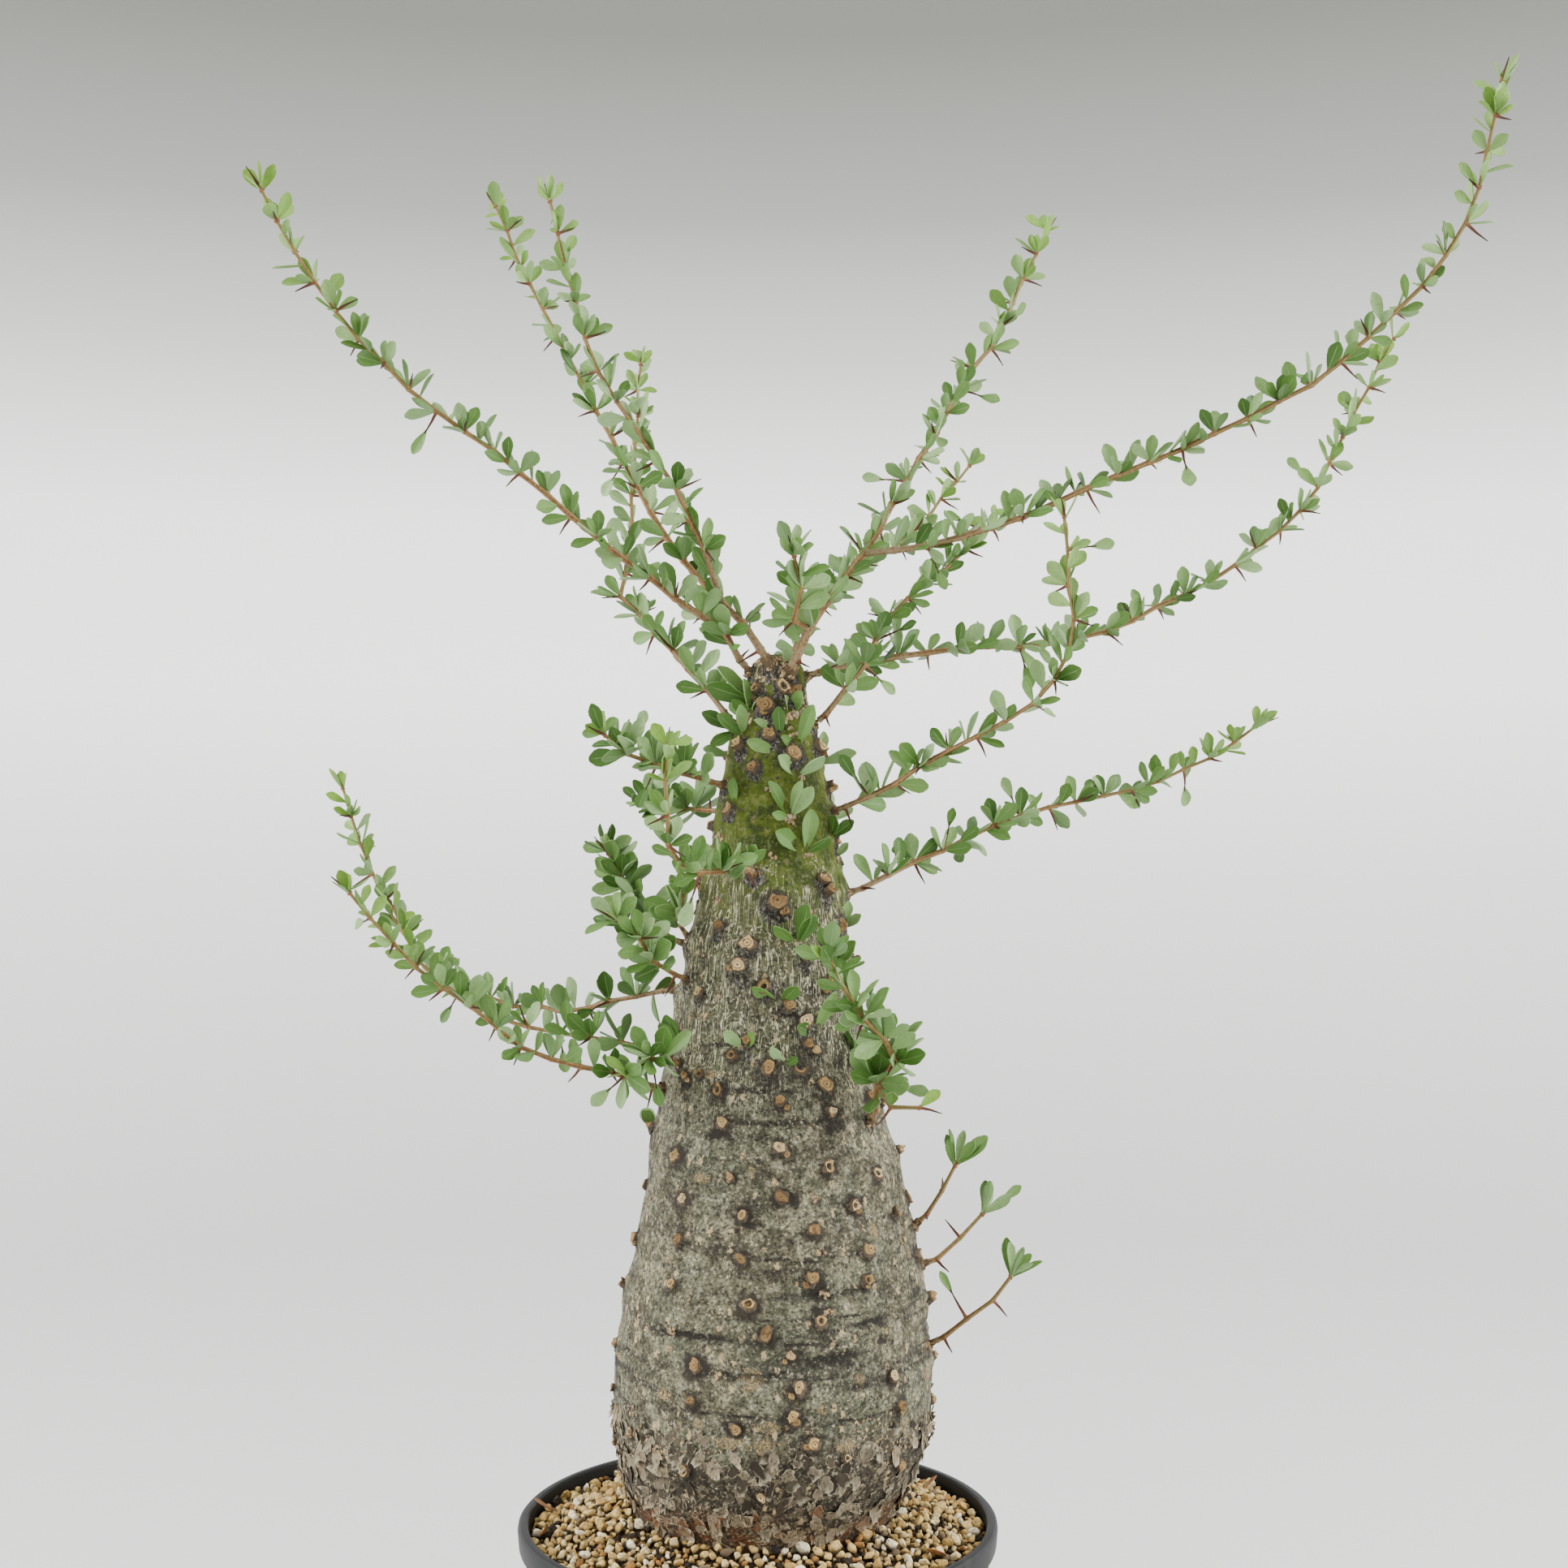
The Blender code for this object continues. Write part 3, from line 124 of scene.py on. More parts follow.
NODE_SPACING = 0.0165
ZIGZAG = 0.6 * MM
STUB_OUT = 0.0045
BRANCHES = {
    "branch_left_long": {
        "root": (-78, 0.623), "radii": (1.9, 0.75),
        "limbs": [[(895, 781, -16), (822, 729, -27), (735, 661, -40), (622, 566, -57), (549, 514, -65),
                   (488, 464, -72), (425, 397, -78), (371, 323, -84), (321, 232, -89)]],
    },
    "branch_left_twin": {
        "root": (-15, 0.626), "radii": (2.1, 0.75),
        "limbs": [[(909, 761, -11), (883, 735, 0), (844, 694, 8), (811, 646, 16), (776, 583, 27), (731, 499, 40),
                   (687, 414, 51), (648, 340, 59), (610, 252, 68)],
                  [(890, 741, -3), (878, 705, -19), (848, 635, -32), (818, 579, -40), (770, 510, -49),
                   (727, 436, -54), (703, 349, -57), (677, 245, -59)]],
    },
    "branch_left_upright": {
        "root": (-84, 0.597), "radii": (1.6, 0.75),
        "limbs": [[(853, 830, 14), (820, 793, 30), (783, 752, 46), (765, 730, 54), (775, 680, 70), (779, 610, 84),
                   (783, 545, 97), (787, 484, 108), (790, 447, 113)]],
    },
    "branch_right_fork": {
        "root": (22, 0.621), "radii": (2.5, 0.8),
        "limbs": [[(992, 784, -14), (1025, 731, -11), (1063, 683, -3), (1117, 593, 19), (1153, 534, 35),
                   (1190, 468, 51), (1229, 415, 65), (1255, 356, 78), (1291, 283, 89)],
                  [(1058, 688, -5), (1117, 676, -11), (1196, 659, -16), (1288, 626, -24), (1374, 587, -35),
                   (1472, 547, -49), (1551, 508, -59), (1624, 468, -68), (1722, 383, -78), (1775, 323, -86),
                   (1815, 257, -92), (1831, 192, -94), (1852, 97, -97)],
                  [(984, 797, -14), (980, 765, -30), (986, 718, -43), (978, 683, -49)]],
    },
    "branch_back_right": {
        "root": (155, 0.622), "radii": (1.6, 0.75),
        "limbs": [[(985, 775, 45), (1020, 735, 75), (1060, 700, 100), (1124, 659, 130), (1160, 615, 150),
                   (1196, 572, 165)]],
    },
    "branch_right_crossing": {
        "root": (72, 0.596), "radii": (1.7, 0.8),
        "limbs": [[(1033, 861, -11), (1061, 827, -11), (1078, 790, 0), (1111, 744, 14), (1150, 712, 27),
                   (1183, 685, 38), (1216, 655, 49), (1240, 640, 57)]],
    },
    "branch_right_long": {
        "root": (98, 0.621), "radii": (1.9, 0.75),
        "limbs": [[(1030, 823, 16), (1143, 804, 32), (1209, 796, 38), (1268, 797, 40), (1321, 787, 46),
                   (1374, 774, 51), (1420, 751, 57), (1505, 708, 65), (1584, 646, 73), (1624, 600, 78),
                   (1650, 547, 84), (1677, 494, 89), (1698, 452, 92), (1719, 415, 94)]],
    },
    "branch_right_turned_up": {
        "root": (76, 0.553), "radii": (1.5, 0.75),
        "limbs": [[(1060, 986, -19), (1091, 972, -27), (1150, 935, -40), (1229, 893, -54), (1268, 873, -59),
                   (1295, 843, -68), (1318, 806, -76), (1322, 770, -81), (1318, 718, -84), (1313, 660, -86),
                   (1311, 634, -86)]],
    },
    "branch_right_low": {
        "root": (84, 0.512), "radii": (1.6, 0.75),
        "limbs": [[(1080, 1085, 3), (1130, 1062, 14), (1180, 1040, 24), (1230, 1015, 35), (1290, 995, 46),
                   (1350, 983, 57), (1400, 972, 65), (1450, 952, 73), (1500, 930, 81), (1550, 893, 86)]],
    },
    "branch_low_left_back": {
        "root": (-92, 0.463), "radii": (1.4, 0.75),
        "limbs": [[(770, 1230, 16), (731, 1239, 30), (693, 1247, 43), (664, 1241, 54), (629, 1239, 62),
                   (602, 1228, 70), (560, 1210, 78), (520, 1180, 86), (490, 1140, 92), (468, 1100, 94),
                   (444, 1040, 97), (422, 969, 100)]],
    },
    "branch_low_left_middle": {
        "root": (-80, 0.433), "radii": (1.3, 0.75),
        "limbs": [[(784, 1289, -14), (737, 1280, -8), (682, 1271, -3), (623, 1257, 3), (585, 1240, 5),
                   (550, 1215, 8), (520, 1187, 11), (500, 1157, 14), (483, 1115, 16)]],
    },
    "branch_low_left_front": {
        "root": (-72, 0.416), "radii": (1.6, 0.75),
        "limbs": [[(781, 1330, -40), (737, 1318, -49), (687, 1308, -57), (635, 1288, -65), (611, 1266, -70),
                   (570, 1233, -76), (541, 1213, -78), (517, 1195, -81), (488, 1166, -84), (459, 1134, -86),
                   (429, 1098, -89)]],
    },
    "branch_mid_left": {
        "root": (-66, 0.566), "radii": (1.7, 0.85),
        "limbs": [[(871, 962, -16), (833, 950, -24), (787, 936, -32), (759, 919, -36), (743, 904, -38)]],
    },
    "branch_mid_left_back": {
        "root": (-118, 0.553), "radii": (1.5, 0.85),
        "limbs": [[(856, 999, 26), (828, 990, 36), (803, 996, 44), (790, 990, 50)]],
    },
    "branch_front_left": {
        "root": (-14, 0.523), "radii": (1.7, 0.85),
        "limbs": [[(909, 1067, -52), (892, 1072, -68), (871, 1075, -82), (838, 1067, -100), (825, 1043, -112),
                   (821, 1006, -120), (821, 962, -126), (823, 917, -130)]],
    },
    "branch_mid_left_rising": {
        "root": (-92, 0.486), "radii": (1.5, 0.85),
        "limbs": [[(828, 1155, 4), (795, 1133, 10), (786, 1113, 14), (774, 1095, 16), (762, 1072, 18),
                   (748, 1049, 20)]],
    },
    "branch_mid_left_low": {
        "root": (-62, 0.470), "radii": (1.4, 0.8),
        "limbs": [[(808, 1187, -32), (795, 1171, -38), (786, 1156, -42), (772, 1144, -46), (760, 1132, -48)]],
    },
    "branch_front_right": {
        "root": (57, 0.402), "radii": (2.0, 0.9), "bare_limb": 1,
        "limbs": [[(1082, 1334, -46), (1104, 1303, -60), (1089, 1278, -70), (1060, 1250, -78),
                   (1038, 1210, -84), (1022, 1180, -88)],
                  [(1076, 1346, -42), (1090, 1360, -52), (1112, 1366, -58), (1136, 1365, -62)]],
    },
    "twig_left_near": {
        "root": (-58, 0.430), "radii": (1.3, 0.85),
        "limbs": [[(820, 1310, -42), (799, 1304, -50), (781, 1310, -56), (769, 1324, -58)]],
    },
    "twig_left_upright": {
        "root": (-72, 0.489), "radii": (1.3, 0.85),
        "limbs": [[(845, 1144, -14), (841, 1121, -18), (841, 1101, -20)]],
    },
    "twig_right_upper": {
        "root": (80, 0.347), "radii": (1.4, 0.9), "tip_only": True,
        "limbs": [[(1143, 1489, -14), (1157, 1471, -16), (1170, 1452, -17), (1178, 1434, -18)]],
    },
    "twig_right_middle": {
        "root": (88, 0.326), "radii": (1.5, 0.9), "tip_only": True,
        "limbs": [[(1154, 1551, 0), (1169, 1538, 4), (1190, 1518, 8), (1212, 1494, 12)]],
    },
    "twig_right_lower": {
        "root": (79, 0.289), "radii": (1.5, 0.9), "tip_only": True,
        "limbs": [[(1172, 1638, -20), (1202, 1619, -26), (1227, 1600, -31), (1247, 1571, -34)]],
    },
    "twig_back_upper": {
        "root": (172, 0.560), "radii": (1.8, 0.9), "shoots": 1,
        "limbs": [[(950, 985, 50), (944, 972, 72), (948, 955, 94), (950, 930, 108)]],
    },
    "twig_back_lower": {
        "root": (-164, 0.470), "radii": (1.9, 0.9), "shoots": 1,
        "limbs": [[(925, 1195, 66), (912, 1180, 92), (915, 1155, 116), (920, 1120, 132)]],
    },
    "twig_back_side": {
        "root": (158, 0.420), "radii": (1.8, 0.9), "shoots": 1,
        "limbs": [[(975, 1310, 72), (990, 1295, 96), (995, 1270, 116), (990, 1240, 126)]],
    },
}
print(len(BRANCHES), "branches with", sum(len(branch["limbs"]) for branch in BRANCHES.values()), "limbs")

# %% [markdown]
# Knobs and leaf tufts that the front view shows on the trunk are written as pixels too. The knobs out of its sight
# follow the spiral on which such a tree sets its branches, 5 turns to every 13 knobs.

# %% Knobs and tufts on the trunk
KNOBS_SEEN = (
    (961, 1357), (961, 1415), (963, 1475), (1003, 1517), (1001, 1575), (1011, 1629), (1015, 1338), (1021, 1369),
    (1019, 1438), (1067, 1350), (1073, 1394), (1077, 1446), (1052, 1486), (1067, 1540), (1067, 1579), (886, 1344),
    (890, 1384), (901, 1450), (915, 1498), (913, 1552), (922, 1608), (834, 1425), (841, 1477), (841, 1527),
    (830, 1583), (844, 1326), (903, 1301), (994, 1286), (929, 946), (955, 1112), (890, 1143), (930, 1068),
    (1013, 1085), (912, 1190), (942, 1218), (865, 1225), (944, 1644), (974, 1671), (857, 1683), (984, 1710),
    (855, 1725), (976, 1744), (907, 1760), (1001, 1779), (1100, 1496), (1100, 1696), (1109, 1731), (914, 920),
    (974, 930), (944, 872), (934, 848), (965, 846), (901, 998), (989, 1180), (1021, 1208), (863, 1325), (949, 829),
    (1002, 921), (948, 905), (975, 852), (970, 1240), (990, 1261), (1003, 1294), (921, 1282), (947, 1317),
    (985, 1316), (1048, 1307), (1041, 1208), (1051, 1185), (1035, 1140), (1017, 1098), (924, 1164),
)
KNOB_TURN = 360.0 * 5 / 13
KNOB_FIRST = 0.236
KNOB_LAST = 0.606
KNOB_COUNT = 190
KNOB_RADIUS = 0.0034
KNOB_RISE = 0.0030
KNOB_ROOM = 0.0125

SPRIGS_SEEN = (
    ((974, 1007), ((948, 962), (988, 962), (1001, 971), (953, 1003))),
    ((997, 1052), ((956, 1024), (1000, 997), (1023, 1034))),
    ((983, 1164), ((999, 1115), (954, 1140), (1004, 1127))),
    ((1003, 1271), ((1030, 1223), (983, 1265))),
    ((962, 909), ((959, 870),)),
    ((983, 920), ((1004, 868), (961, 908))),
    ((984, 957), ((1016, 934), (960, 931))),
    ((1018, 940), ((1056, 928), (1015, 901))),
    ((918, 880), ((915, 836), (934, 858), (902, 862))),
    ((914, 908), ((912, 868), (884, 880))),
    ((896, 898), ((865, 878), (876, 917))),
    ((890, 930), ((865, 924),)),
    ((979, 880), ((989, 851), (968, 857))),
    ((897, 862), ((883, 822), (871, 846))),
    ((914, 834), ((901, 804), (919, 806))),
    ((948, 822), ((942, 783), (955, 784))),
    ((978, 832), ((971, 796), (992, 806))),
    ((962, 928), ((921, 913),)),
    ((953, 896), ((930, 887),)),
    ((903, 994), ((903, 958),)),
    ((1026, 1033), ((1052, 1011), (1030, 1004))),
    ((1036, 1057), ((1046, 1038),)),
    ((1042, 1144), ((1061, 1127), (1046, 1111))),
    ((1034, 1190), ((1054, 1160),)),
    ((961, 1237), ((983, 1213), (927, 1217))),
    ((918, 1292), ((891, 1271), (931, 1274))),
    ((968, 1314), ((950, 1291), (984, 1302))),
    ((1054, 1300), ((1066, 1265), (1077, 1287), (1046, 1269))),
    ((831, 1290), ((812, 1262), (820, 1250))),
    ((925, 1057), ((932, 1040), (920, 1043))),
)
SPRIGS_BEHIND = (
    (112, 0.548, 2, 0.018), (-150, 0.590, 3, 0.020), (-170, 0.530, 2, 0.021), (135, 0.500, 2, 0.020),
    (-135, 0.500, 3, 0.020), (-125, 0.440, 2, 0.018), (178, 0.440, 2, 0.019), (165, 0.604, 3, 0.018),
    (-118, 0.600, 3, 0.018), (128, 0.590, 2, 0.018), (-104, 0.392, 2, 0.016), (140, 0.385, 2, 0.018),
)
print(len(KNOBS_SEEN), "knobs in sight and", len(SPRIGS_SEEN) + len(SPRIGS_BEHIND), "tufts")

# %% [markdown]
# ## The trunk's outline
#
# A smooth curve through the rings gives the radius at any height. Each curve piece starts and ends with the slope of
# its neighbours, which is what makes a row of ring sizes read as one grown form.

# %% Radius, middle and surface of the trunk


def smooth_between(stations, height, column):
    """The value of one column of the stations at a height, on a smooth curve through all of them."""
    heights = [row[0] for row in stations]
    height = min(max(height, heights[0]), heights[-1])
    i = max(k for k in range(len(heights) - 1) if heights[k] <= height)
    before, after = max(i - 1, 0), min(i + 2, len(stations) - 1)
    span = heights[i + 1] - heights[i]
    t = (height - heights[i]) / span
    low, high = stations[i][column], stations[i + 1][column]
    slope_low = (high - stations[before][column]) / (heights[i + 1] - heights[before]) * span
    slope_high = (stations[after][column] - low) / (heights[after] - heights[i]) * span
    return (
        (2 * t**3 - 3 * t**2 + 1) * low
        + (t**3 - 2 * t**2 + t) * slope_low
        + (3 * t**2 - 2 * t**3) * high
        + (t**3 - t**2) * slope_high
    )


def trunk_axis(height):
    return Vector((smooth_between(TRUNK_STATIONS, height, 2), 0.0, height))


def relief(plain, height, azimuth):
    """The shallow swells and ripples on a radius, and the share of them that shows: none below the gravel."""
    shown = np.clip((height - RELIEF_FROM) / RELIEF_RISE, 0, 1) * np.clip(plain / SLIM_RADIUS, 0, 1)
    a = np.radians(azimuth)
    swell = 0.8 * MM * np.sin(2 * a + 31 * height) + 0.5 * MM * np.sin(3 * a - 45 * height + 1.0)
    ripple = 0.7 * MM * np.sin(math.tau * height / RIPPLE + 0.6 * np.sin(a + 0.4))
    return shown * (swell + ripple), shown


def trunk_radius(height, azimuth):
    """The trunk's radius: its smooth outline, with shallow swells and ripples above the gravel."""
    plain = smooth_between(TRUNK_STATIONS, height, 1)
    return plain + float(relief(plain, height, azimuth)[0])


def outward(azimuth):
    a = math.radians(azimuth)
    return Vector((math.sin(a), -math.cos(a), 0.0))


def on_trunk(azimuth, height):
    """The point of the trunk's surface at an azimuth and height, and the direction straight out of it there."""
    step = 1.0 * MM
    here = trunk_axis(height) + outward(azimuth) * trunk_radius(height, azimuth)
    above = trunk_axis(height + step) + outward(azimuth) * trunk_radius(height + step, azimuth)
    across = Vector((math.cos(math.radians(azimuth)), math.sin(math.radians(azimuth)), 0.0))
    return here, across.cross(above - here).normalized()


def seen(column, row, depth_mm):
    """The place at that depth which the front view shows at that pixel."""
    depth = depth_mm * MM
    pixel = PIXEL * (EYE_DISTANCE + depth) / EYE_DISTANCE
    across = EYE_ACROSS + (column - VIEW_MIDDLE) * pixel
    return Vector((across, depth, EYE_HEIGHT + (VIEW_MIDDLE - row) * pixel))


def seen_on_trunk(column, row):
    """The azimuth and height of the spot of the trunk that the front view shows at that pixel."""
    depth = 0.0
    for _ in range(10):
        spot = seen(column, row, depth / MM)
        radius = smooth_between(TRUNK_STATIONS, spot.z, 1)
        across = min(max((spot.x - trunk_axis(spot.z).x) / radius, -0.99), 0.99)
        depth = -radius * math.sqrt(1 - across**2)
    return math.degrees(math.asin(across)), spot.z


print("trunk radius at 0.27 m", round(trunk_radius(0.27, 0), 4), "m")

# %% [markdown]
# ## How the branches grow
#
# A leafy stem is a row of nodes, each a little off line, so that the stem runs in a faint zigzag. A tuft of leaves
# and a thorn stand at every node, turned 137.5 degrees on from the ones before. The chances that set the details are
# seeded with the branch's name, so each run grows the same tree.

# %% Limbs, leaves and thorns
LEAF_LENGTH = (0.0130, 0.0180)
LEAF_WIDTH_SHARE = 0.50
LEAF_BALLS = ((0.32, 0.0), (0.52, -0.26), (0.52, 0.26), (0.75, -0.22), (0.75, 0.22), (0.94, 0.0))
LEAVES_MODELLED = (1, 2, 1)
LEAVES_GROWN = 3
SPRIG_LEAVES_MODELLED = 2
LEAF_TURN = 137.5
LEAF_ROOM = 0.8 * MM
TIP_SINK = 1.6 * MM
ROOT_SPREAD = 0.25 * MM
SPRIG_SINK = 1.5 * MM
SPRIG_LEAF_SLIM = 0.85
CROWN = 0.600
CROWN_SINK = 4.5 * MM
SPINE_LENGTH = (0.009, 0.014)
SPINE_EVERY = 5
FORK_RADIUS = 0.72
TAPER = 0.8
TIP_LEAF_LOSS = 0.27
TWIG_LEAF = 1.15
STEM = -1


def frame_of(direction):
    """Two directions that make right angles with this one and each other."""
    side = direction.cross(UP)
    if side.length < 0.05:
        side = direction.cross(Vector((1.0, 0.0, 0.0)))
    side.normalize()
    return side, side.cross(direction).normalized()


def curve_through(points, spacing):
    """Evenly spaced points on a smooth curve through the given ones."""
    fine = []
    padded = [points[0] * 2 - points[1], *points, points[-1] * 2 - points[-2]]
    for a, b, c, d in zip(padded, padded[1:], padded[2:], padded[3:]):
        for step in range(12):
            t = step / 12
            fine.append(0.5 * (2 * b + (c - a) * t + (2 * a - 5 * b + 4 * c - d) * t**2
                               + (3 * b - a - 3 * c + d) * t**3))
    fine.append(points[-1].copy())
    length = sum((q - p).length for p, q in zip(fine, fine[1:]))
    count = max(2, round(length / spacing))
    even, travelled, target = [fine[0]], 0.0, length / count
    for p, q in zip(fine, fine[1:]):
        piece = (q - p).length
        while travelled + piece >= target and len(even) < count:
            even.append(p.lerp(q, (target - travelled) / piece))
            target += length / count
        travelled += piece
    even.append(fine[-1])
    return even


def limb_points(name, index, start, route):
    """The nodes along one limb: evenly spaced, with the small zigzag that every leafy stem has."""
    chance = random.Random(f"{name} {index} zigzag")
    places = curve_through([start] + [seen(*pixel) for pixel in route], NODE_SPACING)
    for i in range(1, len(places) - 1):
        forward = (places[i + 1] - places[i - 1]).normalized()
        side, lift = frame_of(forward)
        swing = 1 if i % 2 else -1
        places[i] += swing * ZIGZAG * (side + lift * chance.uniform(-0.8, 0.8))
    return places


def branch_stub(branch):
    """Where a branch's stub leaves the trunk, its direction, and the middle of its flat end."""
    root, out = on_trunk(*branch["root"])
    first = seen(*branch["limbs"][0][0])
    direction = ((first - root).normalized() + 0.35 * out).normalized()
    return root, direction, root + direction * STUB_OUT


def branch_limbs(name, branch):
    """The limbs of a branch as lists of (point, radius)."""
    _, direction, seat = branch_stub(branch)
    thick, thin = (radius * MM for radius in branch["radii"])
    limbs = []
    for index, route in enumerate(branch["limbs"]):
        if index == 0:
            start, root_radius = seat + direction * SEAT_GAP, thick
            points = [start] + limb_points(name, index, start + direction * STUB_OUT, route)
        else:
            fork, root_radius = seen(*route[0]), thick * FORK_RADIUS
            start = min((point for point, _ in limbs[0][2:]), key=lambda point: (point - fork).length)
            points = limb_points(name, index, start, route[1:])
        last = len(points) - 1
        radii = [root_radius + (thin - root_radius) * (i / last) ** TAPER for i in range(last + 1)]
        limbs.append(list(zip(points, radii)))
    return limbs


class Leaf:
    """One leaf: where it starts, where it points, which way its upper face looks, and its size."""

    def __init__(self, base, direction, face, length, curl, age=0.5):
        self.base = base
        self.direction = direction.normalized()
        self.side = self.direction.cross(face).normalized()
        self.face = self.side.cross(self.direction)
        self.length = length
        self.half_width = 0.5 * length * LEAF_WIDTH_SHARE
        self.curl = curl
        self.age = age

    def at(self, along, across, lift=0.0):
        bend = self.curl * along**2 * self.length
        return (
            self.base
            + self.direction * along * self.length
            + self.side * across * 2 * self.half_width
            + self.face * (lift + bend)
        )

    def bubbles(self):
        """A few balls that hold the leaf, for keeping things apart."""
        return [(self.at(along, across), 0.42 * self.half_width) for along, across in LEAF_BALLS]


class Room:
    """Balls already taken up by stems and leaves, each marked with its node and its tuft."""

    def __init__(self, most=60000):
        self.count = 0
        self.balls = np.zeros((most, 4))
        self.owners = np.zeros((most, 2), dtype=int)
        self.numbers = {}

    def number(self, node):
        return self.numbers.setdefault(node, len(self.numbers))

    def take(self, balls, node, tuft):
        for centre, size in balls:
            self.balls[self.count] = (*centre, size)
            self.owners[self.count] = (self.number(node), tuft)
            self.count += 1

    def clear_of(self, balls, node, tuft, room=LEAF_ROOM, overlap=0.3):
        """True if the balls keep clear of every other node, and of the node's own other tufts' leaves."""
        taken, owners = self.balls[: self.count], self.owners[: self.count]
        other = owners[:, 0] != self.number(node)
        mine = ~other & (owners[:, 1] != tuft) & (owners[:, 1] != STEM)
        for centre, size in balls:
            apart = np.linalg.norm(taken[:, :3] - np.array(centre), axis=1) - taken[:, 3] - size
            if (apart[other] < room).any() or (apart[mine] < -overlap * size).any():
                return False
        return node == "trunk" or not any(inside_trunk(centre, size) for centre, size in balls)


def inside_trunk(centre, size):
    """True if a ball reaches the trunk or the knobs and stubs on it."""
    flat = Vector((centre[0], centre[1], 0.0)) - trunk_axis(centre[2]).to_2d().to_3d()
    azimuth = math.degrees(math.atan2(flat.x, -flat.y))
    top, reach = TRUNK_STATIONS[-1][0], KNOB_RISE + STUB_OUT
    return centre[2] < top + size and flat.length < trunk_radius(centre[2], azimuth) + size + reach


def tuft(base, forward, out, count, lengths, chance, age=0.5):
    """The leaves of one tuft, fanned about a line between the way out and straight up."""
    centre = (out * 0.8 + forward * 0.3 + UP * 0.7).normalized()
    side, lift = frame_of(centre)
    first = chance.uniform(0, 360)
    leaves = []
    for k in range(count):
        angle = math.radians(first + k * LEAF_TURN + chance.uniform(-18, 18))
        spread = math.radians(chance.uniform(26, 44))
        around = side * math.cos(angle) + lift * math.sin(angle)
        direction = centre * math.cos(spread) + around * math.sin(spread)
        loose = Vector((chance.uniform(-0.8, 0.8), chance.uniform(-0.8, 0.8), chance.uniform(-0.8, 0.8)))
        face = centre * 0.5 - around * 0.3 + loose - Vector((0.0, 0.5, 0.0))
        length = chance.uniform(*lengths) * (1.0 if k < 2 else 0.82)
        curl = chance.uniform(-0.06, 0.16)
        leaves.append(Leaf(base + direction * ROOT_SPREAD, direction, face, length, curl, age))
    return leaves


def branch_tufts(name, branch, limbs):
    """Every tuft of a branch as (tuft number, base, way out, forward, leaves), from root to tip."""
    found = []
    for index, limb in enumerate(limbs):
        chance = random.Random(f"{name} {index} leaves")
        turn = chance.uniform(0, 360)
        for i in range(1, len(limb)):
            point = limb[i][0]
            forward = (point - limb[i - 1][0]).normalized()
            side, lift = frame_of(forward)
            turn += LEAF_TURN
            a = math.radians(turn)
            out = side * math.cos(a) + lift * math.sin(a)
            at_tip = i == len(limb) - 1
            share = i / (len(limb) - 1)
            size = TWIG_LEAF if branch.get("tip_only") else 1.0 - TIP_LEAF_LOSS * share
            lengths = tuple(length * size for length in LEAF_LENGTH)
            if at_tip:
                out = forward
                point = point - forward * TIP_SINK
            if branch.get("tip_only"):
                share = 0.5
            leaves = tuft(point, forward, out, LEAVES_GROWN, lengths, chance, share)
            bare = (branch.get("tip_only") and not at_tip) or (index == 0 and i == 1)
            found.append((index * 100 + i, point, out, forward, [] if bare else leaves))
    return found


def spine(point, forward, out, chance):
    """The end of the thorn that grows at a node, on its underside."""
    length = chance.uniform(*SPINE_LENGTH)
    return point + (out * 0.85 + forward * chance.uniform(0.0, 0.4) - UP * 0.25).normalized() * length


def sprig_base(azimuth, height):
    """Where a tuft on the trunk starts, a little under the bark, and the way out of the bark there."""
    place, out = on_trunk(azimuth, height)
    return place - out * (CROWN_SINK if height > CROWN else SPRIG_SINK), out


def sprig_leaf(base, column, row, chance):
    """A leaf that rises from the bark at base, and whose tip the front view shows at that pixel."""
    azimuth, height = seen_on_trunk(column, row)
    surface = -trunk_radius(height, azimuth) * math.cos(math.radians(azimuth))
    tip = seen(column, row, (min(base.y, surface) / MM) - chance.uniform(4.0, 9.0))
    face = Vector((chance.uniform(-1.0, 1.0), -1.0, chance.uniform(-0.2, 0.7)))
    leaf = Leaf(base, tip - base, face, (tip - base).length, chance.uniform(-0.05, 0.12))
    leaf.half_width *= SPRIG_LEAF_SLIM
    return leaf


def sprig_tufts():
    """The tufts that sprout from the trunk, each from a point a little under its surface."""
    found = []
    for number, (foot, tips) in enumerate(SPRIGS_SEEN):
        chance = random.Random(f"sprig {number}")
        base = sprig_base(*seen_on_trunk(*foot))[0]
        found.append((1000 + number, [sprig_leaf(base, column, row, chance) for column, row in tips]))
    for number, (azimuth, height, count, length) in enumerate(SPRIGS_BEHIND):
        chance = random.Random(f"sprig behind {number}")
        base, out = sprig_base(azimuth, height)
        found.append((2000 + number, tuft(base, UP, out, count, (length * 0.9, length), chance)))
    return found


# %% [markdown]
# The solid model carries only some of the leaves. They are chosen here first, in the same order, and then the rest
# are added in the room that is left, so that no leaf passes through another branch. Between two nodes there is often
# a small extra shoot with two leaves.

# %% Extra shoots
EXTRA_SHOOTS = 0.95
LEAFY_THORNS = 0.22
LEAFY_THORN_REACH = 1.30
THORN_LEAF_LENGTH = (0.011, 0.014)
THORN_BALL = 0.4 * MM
SHORT_LIMB = 9
SHORT_LIMB_SHOOTS = 5
SHORT_LIMB_LEAF = 1.28
TWIG_TIP_LEAVES = 4
SPARE_ROOM = 0.3 * MM
SPARE_OVERLAP = 0.7


